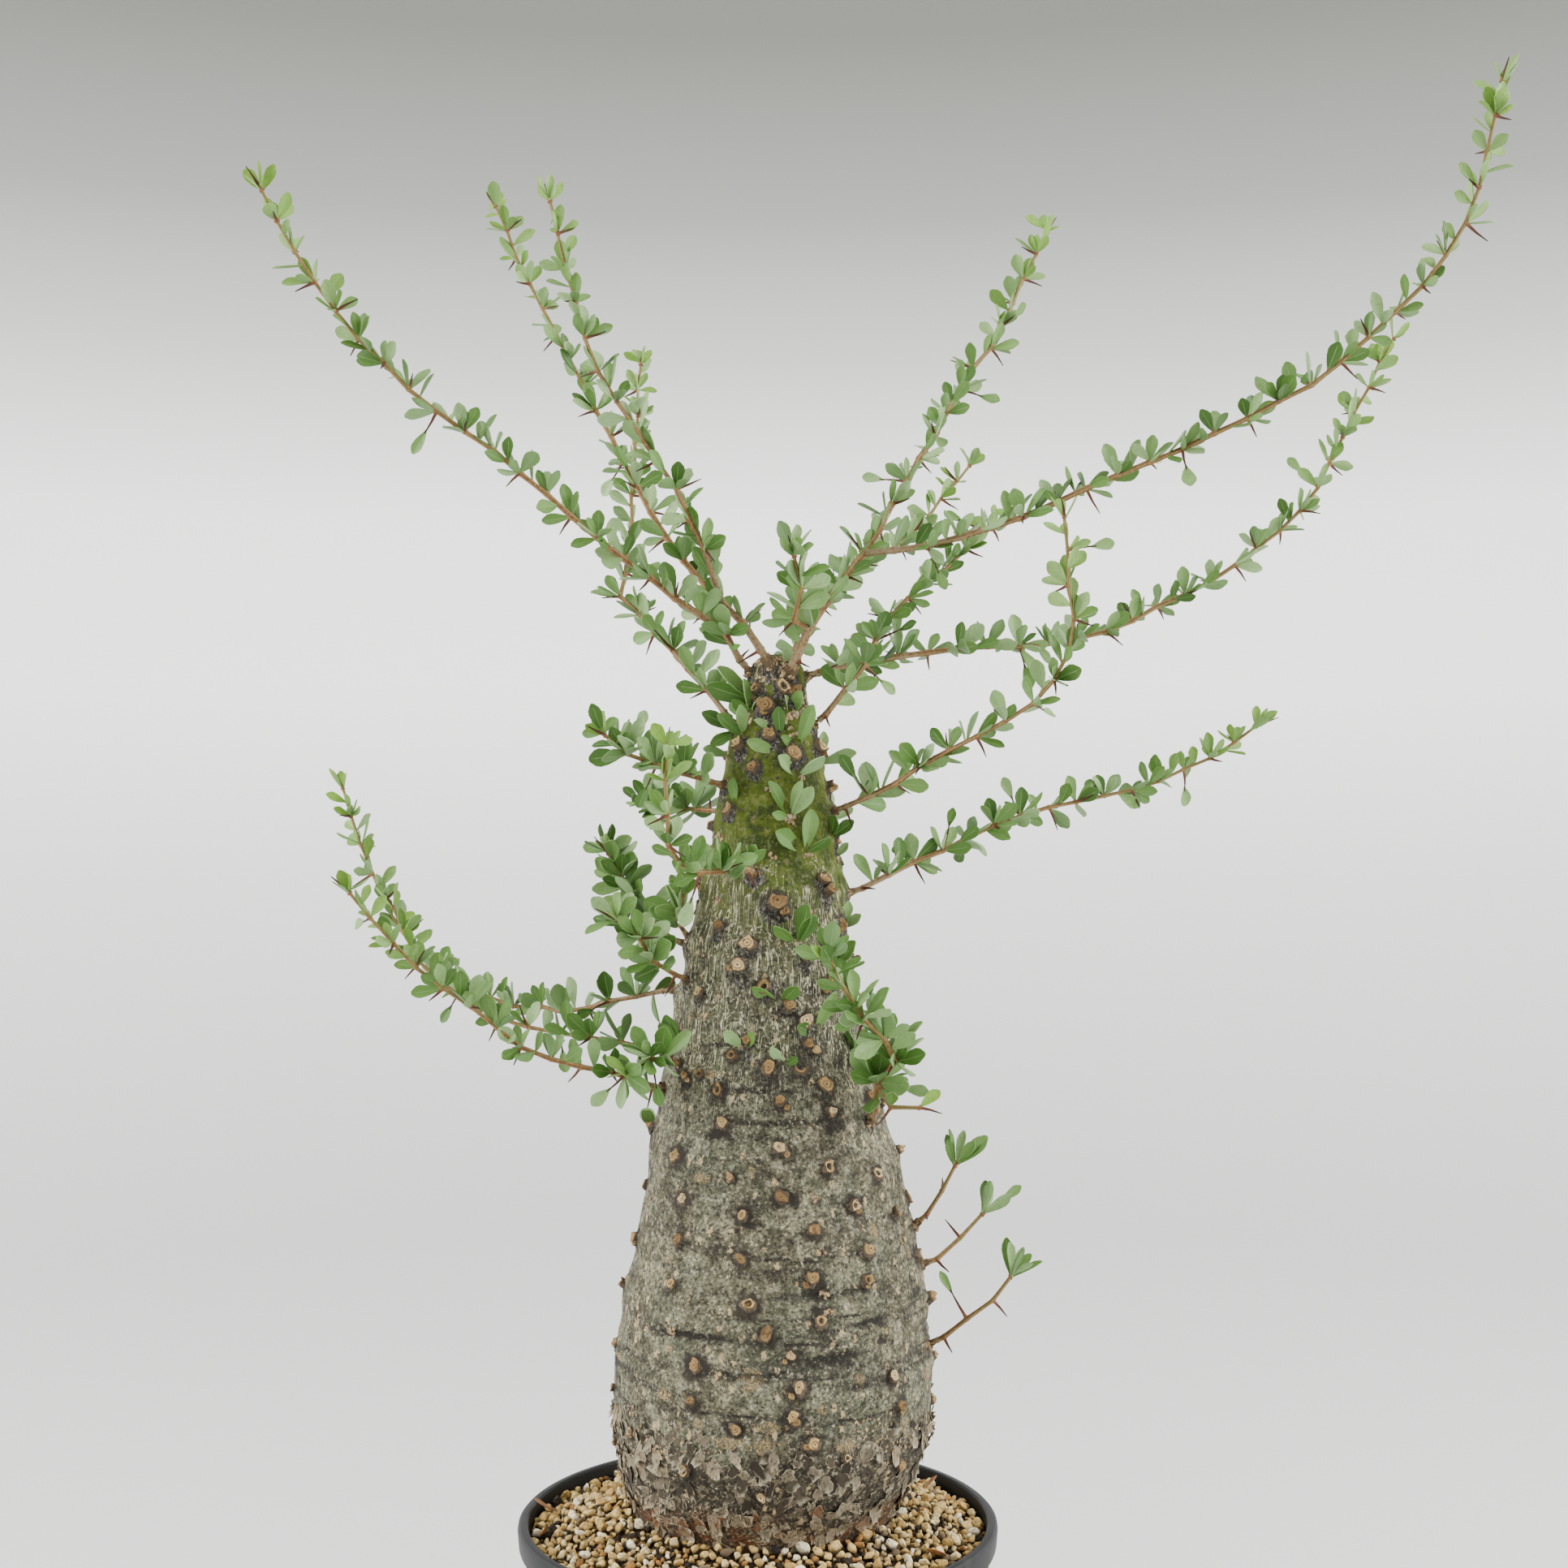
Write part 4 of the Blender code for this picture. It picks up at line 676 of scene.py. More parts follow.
def extra_shoots(name, branch, limbs):
    """Small tufts at the nodes and part of the way between them, as (tuft number, leaves)."""
    found = []
    for index, limb in enumerate(limbs):
        chance = random.Random(f"{name} {index} extra")
        if index == branch.get("bare_limb"):
            continue
        short = len(limb) < SHORT_LIMB
        shoots = branch.get("shoots", SHORT_LIMB_SHOOTS) if short else 1
        for i in range(2, len(limb)):
            before, after = limb[i - 1][0], limb[i][0]
            share = i / (len(limb) - 1)
            forward = (after - before).normalized()
            side, lift = frame_of(forward)
            larger = SHORT_LIMB_LEAF if short else 1.0
            lengths = tuple(length * larger * (1.0 - TIP_LEAF_LOSS * share) for length in LEAF_LENGTH)
            places = [before.lerp(after, chance.uniform(0.35, 0.65)), after]
            for number, base in enumerate(places * shoots):
                a = chance.uniform(0, math.tau)
                out = side * math.cos(a) + lift * math.sin(a)
                leaves = tuft(base, forward, out, 2 + number % 2, lengths, chance, share * (0.7 if short else 1.0))
                if chance.random() < EXTRA_SHOOTS and not branch.get("tip_only"):
                    found.append((5000 + number * 1000 + index * 100 + i, leaves))
        if branch.get("tip_only"):
            leaves = tuft(limb[-1][0], forward, forward, TWIG_TIP_LEAVES, LEAF_LENGTH, chance)
            found.append((len(limb) - 1, leaves))
    return found


def thorn_balls(start, end):
    """Three balls that hold the outer part of a thorn."""
    return [(start.lerp(end, u), THORN_BALL) for u in (0.4, 0.7, 1.0)]


print("up to", SHORT_LIMB_SHOOTS, "extra shoots at each place of a short limb")

# %% [markdown]
# Every stem takes up its room first. A leaf or thorn then joins its branch only where it keeps clear of all that is
# there, and the ones that are left over are tried last, more closely packed.

# %% Choose the leaves and thorns
limbs = {name: branch_limbs(name, branch) for name, branch in BRANCHES.items()}
room = Room()
for name, found in limbs.items():
    for limb in found:
        for (p, r), (q, _) in zip(limb, limb[1:]):
            room.take([(p.lerp(q, t), r) for t in (0.0, 0.25, 0.5, 0.75)], name, STEM)

leaves = {name: [] for name in ("trunk", *BRANCHES)}
spines = {name: [] for name in BRANCHES}
spare = []
for number, tuft_leaves in sprig_tufts():
    for k, leaf in enumerate(tuft_leaves):
        if k < SPRIG_LEAVES_MODELLED and room.clear_of(leaf.bubbles(), "trunk", number):
            room.take(leaf.bubbles(), "trunk", number)
            leaves["trunk"].append(leaf)
        elif k >= SPRIG_LEAVES_MODELLED:
            spare.append(("trunk", number, leaf))
for name, branch in BRANCHES.items():
    chance = random.Random(f"{name} spines")
    for number, point, out, forward, tuft_leaves in branch_tufts(name, branch, limbs[name]):
        wanted = LEAVES_MODELLED[number % 3]
        for leaf in tuft_leaves:
            if wanted and room.clear_of(leaf.bubbles(), name, number):
                room.take(leaf.bubbles(), name, number)
                leaves[name].append(leaf)
                wanted -= 1
            else:
                spare.append((name, number, leaf))
        end = spine(point, forward, out, chance)
        thorn = thorn_balls(point, end)
        if number % SPINE_EVERY == 1:
            if room.clear_of(thorn, name, number):
                room.take(thorn, name, number)
                spines[name].append((point, end))
        else:
            spare.append((name, number, (point, end)))
for name, branch in BRANCHES.items():
    for number, shoot_leaves in extra_shoots(name, branch, limbs[name]):
        spare.extend((name, number, leaf) for leaf in shoot_leaves)
chance = random.Random("leafy thorns")
for name, number, extra in spare:
    if isinstance(extra, Leaf):
        if number // 100 == BRANCHES.get(name, {}).get("bare_limb"):
            continue
        if room.clear_of(extra.bubbles(), name, number, SPARE_ROOM, SPARE_OVERLAP):
            room.take(extra.bubbles(), name, number)
            leaves[name].append(extra)
        continue
    start, end = extra
    far = start.lerp(end, LEAFY_THORN_REACH)
    borne = Leaf(start.lerp(far, 0.80), end - start, Vector((0, -1, 0.4)), chance.uniform(*THORN_LEAF_LENGTH), 0.1)
    thorn, long_thorn = thorn_balls(start, end), thorn_balls(start, far)
    if chance.random() < LEAFY_THORNS and room.clear_of(long_thorn + borne.bubbles(), name, number):
        room.take(borne.bubbles(), name, number)
        leaves[name].append(borne)
        spines[name].append((start, far))
    elif room.clear_of(thorn, name, number):
        spines[name].append(extra)
print(sum(map(len, leaves.values())), "leaves and", sum(map(len, spines.values())), "thorns")

# %% [markdown]
# ## Shader maths
#
# A material is a graph of small nodes. The class below lets such a graph be written as ordinary sums: `1 - mask`
# makes a Math node, links it up and hands back its output.

# %% A wrapped socket


class Value:
    """An output of a material's node graph, so that sums on it add nodes to the graph."""

    def __init__(self, tree, socket):
        self.tree = tree
        self.socket = socket

    def add(self, kind, settings=None, inputs=None, output=0):
        """Adds a node, makes its settings, fills its sockets with values or links, and returns one output."""
        made = self.tree.nodes.new(kind)
        for name, setting in (settings or {}).items():
            setattr(made, name, setting)
        for name, value in (inputs or {}).items():
            if isinstance(value, Value):
                self.tree.links.new(value.socket, made.inputs[name])
            else:
                made.inputs[name].default_value = value
        return Value(self.tree, made.outputs[output])

    def math(self, operation, *others):
        return self.add("ShaderNodeMath", {"operation": operation}, dict(enumerate((self, *others))))

    def __add__(self, other):
        return self.math("ADD", other)

    __radd__ = __add__

    def __mul__(self, other):
        return self.math("MULTIPLY", other)

    __rmul__ = __mul__

    def __sub__(self, other):
        return self.math("SUBTRACT", other)

    def __rsub__(self, other):
        return self.add("ShaderNodeMath", {"operation": "SUBTRACT"}, {0: other, 1: self})

    def between(self, low, high):
        """0 below low, 1 above high, and a smooth rise in between."""
        return self.add(
            "ShaderNodeMapRange",
            {"interpolation_type": "SMOOTHSTEP"},
            {"Value": self, "From Min": low, "From Max": high, "To Min": 0.0, "To Max": 1.0},
        )

    def ramp(self, stops, steps="LINEAR"):
        """The colour at this value's place among the stops, each of them a place and a colour."""
        made = self.add("ShaderNodeValToRGB", {}, {"Fac": self})
        ramp = made.socket.node.color_ramp
        ramp.interpolation = steps
        while len(ramp.elements) < len(stops):
            ramp.elements.new(0.5)
        for stop, (place, colour) in zip(ramp.elements, stops):
            stop.position = place
            stop.color = (*colour, 1.0)
        return made

    def paint(self, colour, mask):
        """This colour with another laid over it where the mask is 1."""
        return self.add(
            "ShaderNodeMix",
            {"data_type": "RGBA", "clamp_factor": True},
            {0: mask, 6: self, 7: rgba(colour)},
            2,
        )

    def scaled(self, x, y, z):
        return self.add("ShaderNodeVectorMath", {"operation": "MULTIPLY"}, {0: self, 1: (x, y, z)})

    def noise(self, scale, detail=3.0, roughness=0.55):
        """Cloudy noise over these coordinates, about 0 to 1."""
        return self.add("ShaderNodeTexNoise", {}, {"Vector": self, "Scale": scale, "Detail": detail,
                                                   "Roughness": roughness})

    def cells(self, scale, feature="F1", output=0):
        return self.add("ShaderNodeTexVoronoi", {"feature": feature}, {"Vector": self, "Scale": scale}, output)


def rgba(colour):
    return colour if isinstance(colour, Value) else (*colour, 1.0)


def new_material(name, roughness, **constants):
    """A material, its Principled shader, and the object's own coordinates to start a pattern from."""
    made = bpy.data.materials.new(name)
    made.use_nodes = True
    tree = made.node_tree
    shader = tree.nodes["Principled BSDF"]
    shader.inputs["Roughness"].default_value = roughness
    for socket, value in constants.items():
        shader.inputs[socket.replace("_", " ")].default_value = value
    place = Value(tree, tree.nodes.new("ShaderNodeTexCoord").outputs["Object"])
    return made, shader, place


def attribute(place, name, output):
    """A value that the mesh carries at each point: output is Vector or Fac."""
    return place.add("ShaderNodeAttribute", {"attribute_name": name}, {}, output)


def axis(vector, index):
    return vector.add("ShaderNodeSeparateXYZ", {}, {0: vector}, index)


def connect(shader, socket, value):
    value.tree.links.new(value.socket, shader.inputs[socket])


def bumped(shader, height, distance, strength=1.0):
    """Feeds the shader's normal with a relief of this height, whose full step is distance in metres."""
    height.tree.links.new(
        height.add(
            "ShaderNodeBump", {}, {"Height": height, "Distance": distance, "Strength": strength}
        ).socket,
        shader.inputs["Normal"],
    )


# %% [markdown]
# ## Finishes
#
# The bark changes with height. It flakes near the gravel, where the bark under the flakes is painted dark as
# the shade in their gaps. It is grey-green with creases in the middle, has pale fissures above that, each with a thin
# painted shadow beside it, and shows bright olive skin near the crown. All patterns read the object's own coordinates,
# stretched upwards for fissures and sideways for bands. The mesh carries how close each spot is to a knob and how
# deep it lies in a crease or in a cracked, sooty or corky patch. Cracked and corky patches have colours of their own.
# Round and under each knob and in the creases the bark is darkened as painted shade, and the sooty patches are
# near-black, partly darker bark and partly painted shade.

# %% Bark
BARK_TONES = ((0.36, (0.044, 0.040, 0.024)), (0.50, (0.108, 0.101, 0.061)), (0.63, (0.232, 0.218, 0.140)))


def bark_finish():
    made, shader, place = new_material("bark", 0.80, Specular_IOR_Level=0.15)
    height = axis(place, 2)
    spot = attribute(place, "bark_place", "Vector")
    knob, crease, hang = axis(spot, 0), axis(spot, 1), axis(spot, 2)
    marks = attribute(place, "bark_marks", "Vector")
    sooty, corky = axis(marks, 0), axis(marks, 1)
    cloud = place.noise(24.0, 2.0)
    patch = place.noise(85.0, 4.0, 0.70)
    fine = place.noise(620.0, 3.0, 0.75)
    fibre = place.scaled(1.0, 1.0, 0.30).noise(480.0, 2.0, 0.6)
    wavy = place.scaled(1.0, 1.0, 0.10).noise(400.0, 2.0, 0.5)
    wrinkle = (place.scaled(1.0, 1.0, 0.55).noise(430.0, 3.0, 0.65) - 0.5).math("ABSOLUTE")
    blotch = place.noise(270.0, 3.0, 0.7)
    band = place.scaled(1.0, 1.0, 6.0).noise(17.0, 3.0, 0.6)
    level = height + (cloud - 0.5) * 0.05
    streaked = 0.15 + 0.85 * level.between(0.36, 0.42)

    colour = patch.ramp(BARK_TONES)
    colour = colour.paint((0.088, 0.104, 0.068), cloud.between(0.45, 0.62) * 0.42)
    olive = level.between(0.47, 0.53)
    cracked = (hang + (blotch - 0.5) * 2.0).between(0.30, 0.48)
    skin = olive * (1 - cracked)
    colour = colour.paint((0.062, 0.088, 0.003), skin * 0.94)
    colour = colour.paint((0.018, 0.032, 0.003), skin * patch.between(0.48, 0.60) * 0.80)
    colour = colour.paint((0.175, 0.195, 0.050), skin * (1 - patch.between(0.34, 0.45)) * 0.45)

    colour = colour.paint((0.040, 0.036, 0.029), band.between(0.50, 0.64) * (1 - olive) * 0.55)
    colour = colour.paint((0.044, 0.040, 0.031), blotch.between(0.53, 0.64) * (1 - olive * 0.8) * 0.68)
    colour = colour.paint((0.290, 0.278, 0.212), (1 - blotch.between(0.36, 0.46)) * (1 - olive * 0.8) * 0.48)
    colour = colour.paint((0.330, 0.310, 0.235), fibre.between(0.58, 0.70) * (1 - olive * 0.8) * streaked * 0.55)
    striped = level.between(0.40, 0.44) * (1 - (level + (patch - 0.5) * 0.12).between(0.505, 0.535))
    line = 1 - (wavy - 0.5).math("ABSOLUTE").between(0.007, 0.032)
    colour = colour.paint((0.058, 0.066, 0.024), striped * patch.between(0.38, 0.60) * 0.60)
    # A thin painted shadow line runs beside each pale fissure line, on one side.
    painted_line_shadow = wavy.between(0.53, 0.56) * (1 - wavy.between(0.57, 0.61))
    colour = colour.paint((0.030, 0.030, 0.018), striped * painted_line_shadow * 0.55)
    colour = colour.paint((0.600, 0.575, 0.390), line * striped * 0.90)

    # Low on the trunk, round the flakes, the bark is painted dark as the shade in the gaps under and between them.
    low = 1 - level.between(0.244, 0.262)
    colour = colour.paint((0.032, 0.026, 0.020), low * 0.88)
    colour = colour.paint((0.240, 0.196, 0.130), low * blotch.between(0.50, 0.58) * 0.60)
    colour = colour.paint((0.135, 0.055, 0.024), (1 - level.between(0.206, 0.226)) * patch.between(0.35, 0.6) * 0.9)

    stretched = place.scaled(1.0, 1.0, 0.6)
    fleck_reach = stretched.cells(190.0) + (fine - 0.5) * 0.9
    fleck_chance = axis(stretched.cells(190.0, output=1), 0)
    fleck = (1 - fleck_reach.between(0.18, 0.27)) * fleck_chance.between(0.58, 0.64) * (1 - skin * 0.8)
    scab = (corky + (blotch - 0.5) * 2.6).between(0.50, 0.62) * fine.between(0.43, 0.53)
    colour = colour.paint((0.500, 0.370, 0.190), fleck * 0.80)
    colour = colour.paint((0.520, 0.385, 0.190), scab * 0.85)
    colour = colour.paint((0.130, 0.122, 0.112), cracked * olive.math("MAXIMUM", 0.5) * 0.90)
    colour = colour.paint((0.020, 0.018, 0.018), cracked * (1 - wrinkle.between(0.012, 0.050)) * 0.90)
    colour = colour.paint((0.360, 0.335, 0.285), cracked * wrinkle.between(0.090, 0.135) * 0.65)
    # Painted shade in the creases, which the mesh sinks in too, darkest in their deepest parts.
    colour = colour.paint((0.034, 0.030, 0.026), crease.between(0.0, 0.7) * 0.55)
    colour = colour.paint((0.012, 0.010, 0.009), crease.between(0.45, 0.95) * patch.between(0.38, 0.52) * 0.74)
    colour = colour.paint((0.016, 0.013, 0.011), fine.between(0.53, 0.63) * (1 - skin * 0.8) * 0.86)
    bright = 0.24 + 0.50 * patch.between(0.42, 0.58)
    colour = colour.paint((0.560, 0.520, 0.360), (1 - fine.between(0.35, 0.44)) * (1 - skin * 0.8) * bright)
    # Sooty patches, sunk a little by the mesh: near-black, partly darker bark and partly painted shade in those pits.
    colour = colour.paint((0.018, 0.015, 0.013), (sooty + (blotch - 0.5) * 2.6).between(0.05, 1.05) * 0.90)
    # Painted shade round each knob and its stub, deepest just under it.
    near = (knob + (blotch - 0.5) * 1.4).between(0.15, 0.80) * (1 - cracked * 0.5)
    colour = colour.paint((0.026, 0.021, 0.017), near * 0.88)

    connect(shader, "Base Color", colour)
    connect(shader, "Roughness", 0.62 + fine * 0.30)
    relief = (fine * 0.6 + fibre * streaked * 0.5 - blotch * 0.7) * (1 - skin * 0.65) + patch * 0.8
    bumped(shader, relief + line * striped * 0.4 + cracked * wrinkle * 5.0 + scab * 0.5, 0.0012, 1.0)
    return made


BARK = bark_finish()
print(BARK.name)

# %% [markdown]
# A knob is the stump of a shed branch. Its face shows pale wood in rings round a dark pith, and its side is cracked
# and grey. Crusts of corky bark and the papery flakes at the trunk's foot are tan and brown, each with its own shade.

# %% Knobs, crusts and flakes
KNOB_TONES = ((0.0, (0.200, 0.122, 0.052)), (0.30, (0.340, 0.222, 0.092)), (0.70, (0.490, 0.340, 0.155)),
              (1.0, (0.610, 0.465, 0.250)))
CORK_TONES = ((0.0, (0.075, 0.052, 0.032)), (0.35, (0.200, 0.125, 0.058)), (0.70, (0.330, 0.220, 0.105)),
              (1.0, (0.460, 0.335, 0.180)))
FLAKE_TONES = ((0.0, (0.030, 0.024, 0.018)), (0.35, (0.092, 0.076, 0.053)), (0.75, (0.270, 0.226, 0.152)),
               (1.0, (0.165, 0.068, 0.028)))


def knob_finish():
    made, shader, place = new_material("knob wood", 0.85, Specular_IOR_Level=0.15)
    spot = attribute(place, "knob_place", "Vector")
    radial, chance, side = axis(spot, 0), axis(spot, 1), axis(spot, 2)
    grain = place.noise(800.0, 2.0, 0.7)
    colour = chance.ramp(KNOB_TONES)
    rings = (radial * 14.0 + grain * 2.5).math("SINE").between(0.1, 0.9)
    colour = colour.paint((0.170, 0.105, 0.050), rings * 0.60)
    colour = colour.paint((0.080, 0.054, 0.036), (radial + grain * 0.5).between(0.98, 1.18) * 0.85)
    colour = colour.paint((0.100, 0.084, 0.062), side.between(0.15, 0.5) * 0.8)
    colour = colour.paint((0.024, 0.019, 0.016), side.between(0.2, 0.8) * grain.between(0.40, 0.58) * 0.9)
    colour = colour.paint((0.040, 0.024, 0.015), (1 - radial.between(0.05, 0.22)) * 0.8)
    colour = colour.paint((0.030, 0.020, 0.014), grain.between(0.56, 0.70) * 0.6)
    connect(shader, "Base Color", colour)
    bumped(shader, rings * 0.4 + grain, 0.0006)
    return made


def crust_finish(name, stops):
    """Corky scraps: each one's own shade, with dark pits and pale edges, partly wear and partly painted highlight."""
    made, shader, place = new_material(name, 0.88, Specular_IOR_Level=0.15)
    spot = attribute(place, "crust_place", "Vector")
    shade, edge = axis(spot, 0), axis(spot, 1)
    grain = place.scaled(1.0, 1.0, 0.4).noise(900.0, 2.0, 0.7)
    colour = shade.ramp(stops)
    # Pale on the outward tops of the cork lumps and the rims of the flakes: partly wear, partly painted highlight.
    colour = colour.paint((0.500, 0.440, 0.310), edge.between(0.76, 1.0) * 0.62)
    colour = colour.paint((0.026, 0.020, 0.016), grain.between(0.50, 0.66) * 0.75)
    connect(shader, "Base Color", colour)
    bumped(shader, grain, 0.0006)
    return made


KNOB_WOOD = knob_finish()
CORK = crust_finish("cork", CORK_TONES)
FLAKE = crust_finish("bark flake", FLAKE_TONES)

# %% [markdown]
# A leaf's upper face is a soft, slightly waxy green with a pale midrib. The underside is paler and greyer, and young
# leaves near a tip are yellower. Each leaf carries its own tint, so no two neighbours match.

# %% Leaves
LEAF_TONES = ((0.0, (0.042, 0.108, 0.013)), (0.35, (0.092, 0.200, 0.034)), (0.7, (0.158, 0.285, 0.078)),
              (1.0, (0.270, 0.405, 0.175)))


def leaf_finish():
    made, shader, place = new_material("leaf", 0.5, Specular_IOR_Level=0.30)
    spot = attribute(place, "leaf_place", "Vector")
    across, along, tint = axis(spot, 0), axis(spot, 1), axis(spot, 2)
    kind = attribute(place, "leaf_kind", "Vector")
    young, under = axis(kind, 0), axis(kind, 1)
    colour = tint.ramp(LEAF_TONES)
    colour = colour.paint((0.215, 0.400, 0.035), young * 0.80)
    mottle = place.noise(450.0, 2.0)
    colour = colour.paint((0.035, 0.095, 0.022), mottle.between(0.50, 0.75) * 0.25)
    side = across.math("ABSOLUTE")
    midrib = (1 - side.between(0.015, 0.085)) * (1 - along.between(0.75, 0.95))
    colour = colour.paint((0.260, 0.380, 0.140), midrib * 0.50)
    colour = colour.paint((0.240, 0.350, 0.100), (1 - along.between(0.05, 0.22)) * 0.7)
    colour = colour.paint((0.165, 0.265, 0.115), under * 0.40)
    connect(shader, "Base Color", colour)
    connect(shader, "Roughness", 0.42 + mottle * 0.18)
    veins = (side * 9.0 - along * 26.0).math("SINE")
    bumped(shader, veins * 0.3 - midrib * 0.8 + mottle * 0.4, 0.0002, 0.5)
    return made


LEAF = leaf_finish()

# %% [markdown]
# A stem is orange-brown and ribbed lengthwise, greener towards its tip. Its thorns are red-brown and end almost black.

# %% Stems and thorns
STEM_TONES = ((0.25, (0.105, 0.042, 0.017)), (0.55, (0.200, 0.098, 0.034)), (0.80, (0.310, 0.195, 0.080)))
THORN_TONES = ((0.0, (0.240, 0.105, 0.040)), (0.30, (0.100, 0.032, 0.017)), (1.0, (0.016, 0.009, 0.008)))


def stem_finish():
    made, shader, place = new_material("stem", 0.62, Specular_IOR_Level=0.25)
    spot = attribute(place, "stem_place", "Vector")
    along, thorn, around = axis(spot, 0), axis(spot, 1), axis(spot, 2)
    grain = place.noise(600.0, 2.0)
    colour = grain.ramp(STEM_TONES)
    ribs = (around * math.tau * 4.0).math("SINE").between(0.1, 0.9)
    colour = colour.paint((0.330, 0.260, 0.110), ribs * 0.50)
    colour = colour.paint((0.230, 0.185, 0.110), (1 - along.between(0.0, 0.25)) * grain.between(0.35, 0.55) * 0.8)
    colour = colour.paint((0.200, 0.215, 0.045), along.between(0.30, 0.9) * (1 - ribs) * 0.40)
    colour = colour.paint(thorn.ramp(THORN_TONES), thorn.between(0.0, 0.05))
    connect(shader, "Base Color", colour)
    connect(shader, "Roughness", 0.52 + grain * 0.2)
    bumped(shader, ribs * 0.6 + grain * 0.6, 0.0002)
    return made


STEM_BARK = stem_finish()

# %% [markdown]
# The gravel is pumice: tan, cream and white, with a few rusty and a few nearly black stones. Each stone carries its
# own chance, which a ramp turns into one of those colours.

# %% Stones and soil
STONE_TONES = ((0.0, (0.530, 0.350, 0.120)), (0.28, (0.660, 0.475, 0.190)), (0.54, (0.760, 0.605, 0.310)),
               (0.76, (0.960, 0.860, 0.610)), (0.84, (0.360, 0.175, 0.055)), (0.89, (0.150, 0.112, 0.070)),
               (0.930, (0.022, 0.021, 0.020)))
SOIL_TONES = ((0.35, (0.012, 0.008, 0.005)), (0.70, (0.070, 0.045, 0.024)))


def stone_finish():
    made, shader, place = new_material("pumice", 0.9, Specular_IOR_Level=0.20)
    spot = attribute(place, "stone_place", "Vector")
    kind, shade = axis(spot, 0), axis(spot, 1)
    colour = kind.ramp(STONE_TONES, "CONSTANT")
    pores = place.noise(700.0, 2.0, 0.7)
    colour = colour.paint((0.130, 0.074, 0.028), pores.between(0.50, 0.66) * 0.65)
    colour = colour.paint((0.024, 0.014, 0.007), (1 - shade.between(0.18, 0.72)) * 0.92)
    connect(shader, "Base Color", colour)
    bumped(shader, pores, 0.0005)
    return made


def soil_finish():
    made, shader, place = new_material("soil", 0.95, Specular_IOR_Level=0.15)
    crumbs = place.noise(400.0, 2.0, 0.7)
    connect(shader, "Base Color", crumbs.ramp(SOIL_TONES))
    bumped(shader, crumbs, 0.0012)
    return made


PUMICE = stone_finish()
SOIL = soil_finish()

# %% [markdown]
# The pot is black moulded plastic with a fine grain, rubbed pale along the rim by handling.

# %% Pot plastic
PLASTIC_TONES = ((0.3, (0.011, 0.012, 0.013)), (0.8, (0.019, 0.020, 0.021)))


def plastic_finish():
    made, shader, place = new_material("pot plastic", 0.48, Specular_IOR_Level=0.18)
    height = axis(place, 2)
    grain = place.noise(1400.0, 1.0)
    wear = place.noise(55.0, 4.0, 0.7).between(0.56, 0.72) * height.between(POT_HEIGHT - 0.02, POT_HEIGHT)
    scuffs = place.scaled(1.0, 1.0, 0.25).noise(120.0, 5.0, 0.75).between(0.62, 0.70)
    dust = place.noise(22.0, 2.0).between(0.45, 0.75)
    colour = grain.ramp(PLASTIC_TONES)
    colour = colour.paint((0.060, 0.060, 0.058), wear * 0.5)
    colour = colour.paint((0.046, 0.046, 0.044), scuffs * 0.35)
    colour = colour.paint((0.032, 0.031, 0.029), dust * 0.25)
    connect(shader, "Base Color", colour)
    connect(shader, "Roughness", 0.46 + wear * 0.2 + dust * 0.1 + grain * 0.08)
    bumped(shader, grain * 0.5 + scuffs, 0.00008)
    return made


POT_PLASTIC = plastic_finish()

# %% [markdown]
# A shed leaf dries to a curled scrap of orange-brown.

# %% Dry leaves
DRY_TONES = ((0.3, (0.150, 0.055, 0.020)), (0.55, (0.340, 0.150, 0.050)), (0.8, (0.460, 0.270, 0.120)))


def dry_leaf_finish():
    made, shader, place = new_material("dry leaf", 0.7)
    blotch = place.noise(300.0, 4.0)
    connect(shader, "Base Color", blotch.ramp(DRY_TONES))
    bumped(shader, blotch, 0.0003)
    return made


DRY_LEAF = dry_leaf_finish()
print(len(bpy.data.materials), "materials")

# %% [markdown]
# ## Finishing a piece
#
# Every piece ends the same way: it gets its name and finish, rides on the part's one body, and stands in for the
# solids that it covers.

# %% Helpers for pieces


def pick(obj):
    """Makes this the only selected object, and the active one."""
    bpy.ops.object.select_all(action="DESELECT")
    obj.select_set(True)
    bpy.context.view_layer.objects.active = obj


def finish_piece(obj, name, finish, nodes=(), angle=40, second=None, second_from=0):
    """Names, smooths and dresses a piece, and puts it on the body in place of the nodes.

    Faces from number second_from on take the second finish, if there is one.
    """
    pick(obj)
    bpy.ops.object.shade_smooth_by_angle(angle=math.radians(angle))
    obj.name = name
    obj.data.name = name
    obj.data.materials.clear()
    obj.data.materials.append(finish)
    if second:
        obj.data.materials.append(second)
        numbers = np.arange(len(obj.data.polygons)) >= second_from
        obj.data.polygons.foreach_set("material_index", numbers.astype(np.int32))
    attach(obj, "root")
    if nodes:
        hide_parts(*nodes)
    print(name, len(obj.data.polygons), "faces")
    return obj


def apply_all(obj):
    """Applies the object's modifiers, and its place, turn and size."""
    pick(obj)
    for modifier in list(obj.modifiers):
        bpy.ops.object.modifier_apply(modifier=modifier.name)
    bpy.ops.object.transform_apply(location=True, rotation=True, scale=True)


def taken_from(obj):
    """The points and faces of a shape that is modelled once, which then leaves the scene."""
    points = np.array([vertex.co[:] for vertex in obj.data.vertices])
    faces = [tuple(face.vertices) for face in obj.data.polygons]
    bpy.data.objects.remove(obj)
    return points, faces


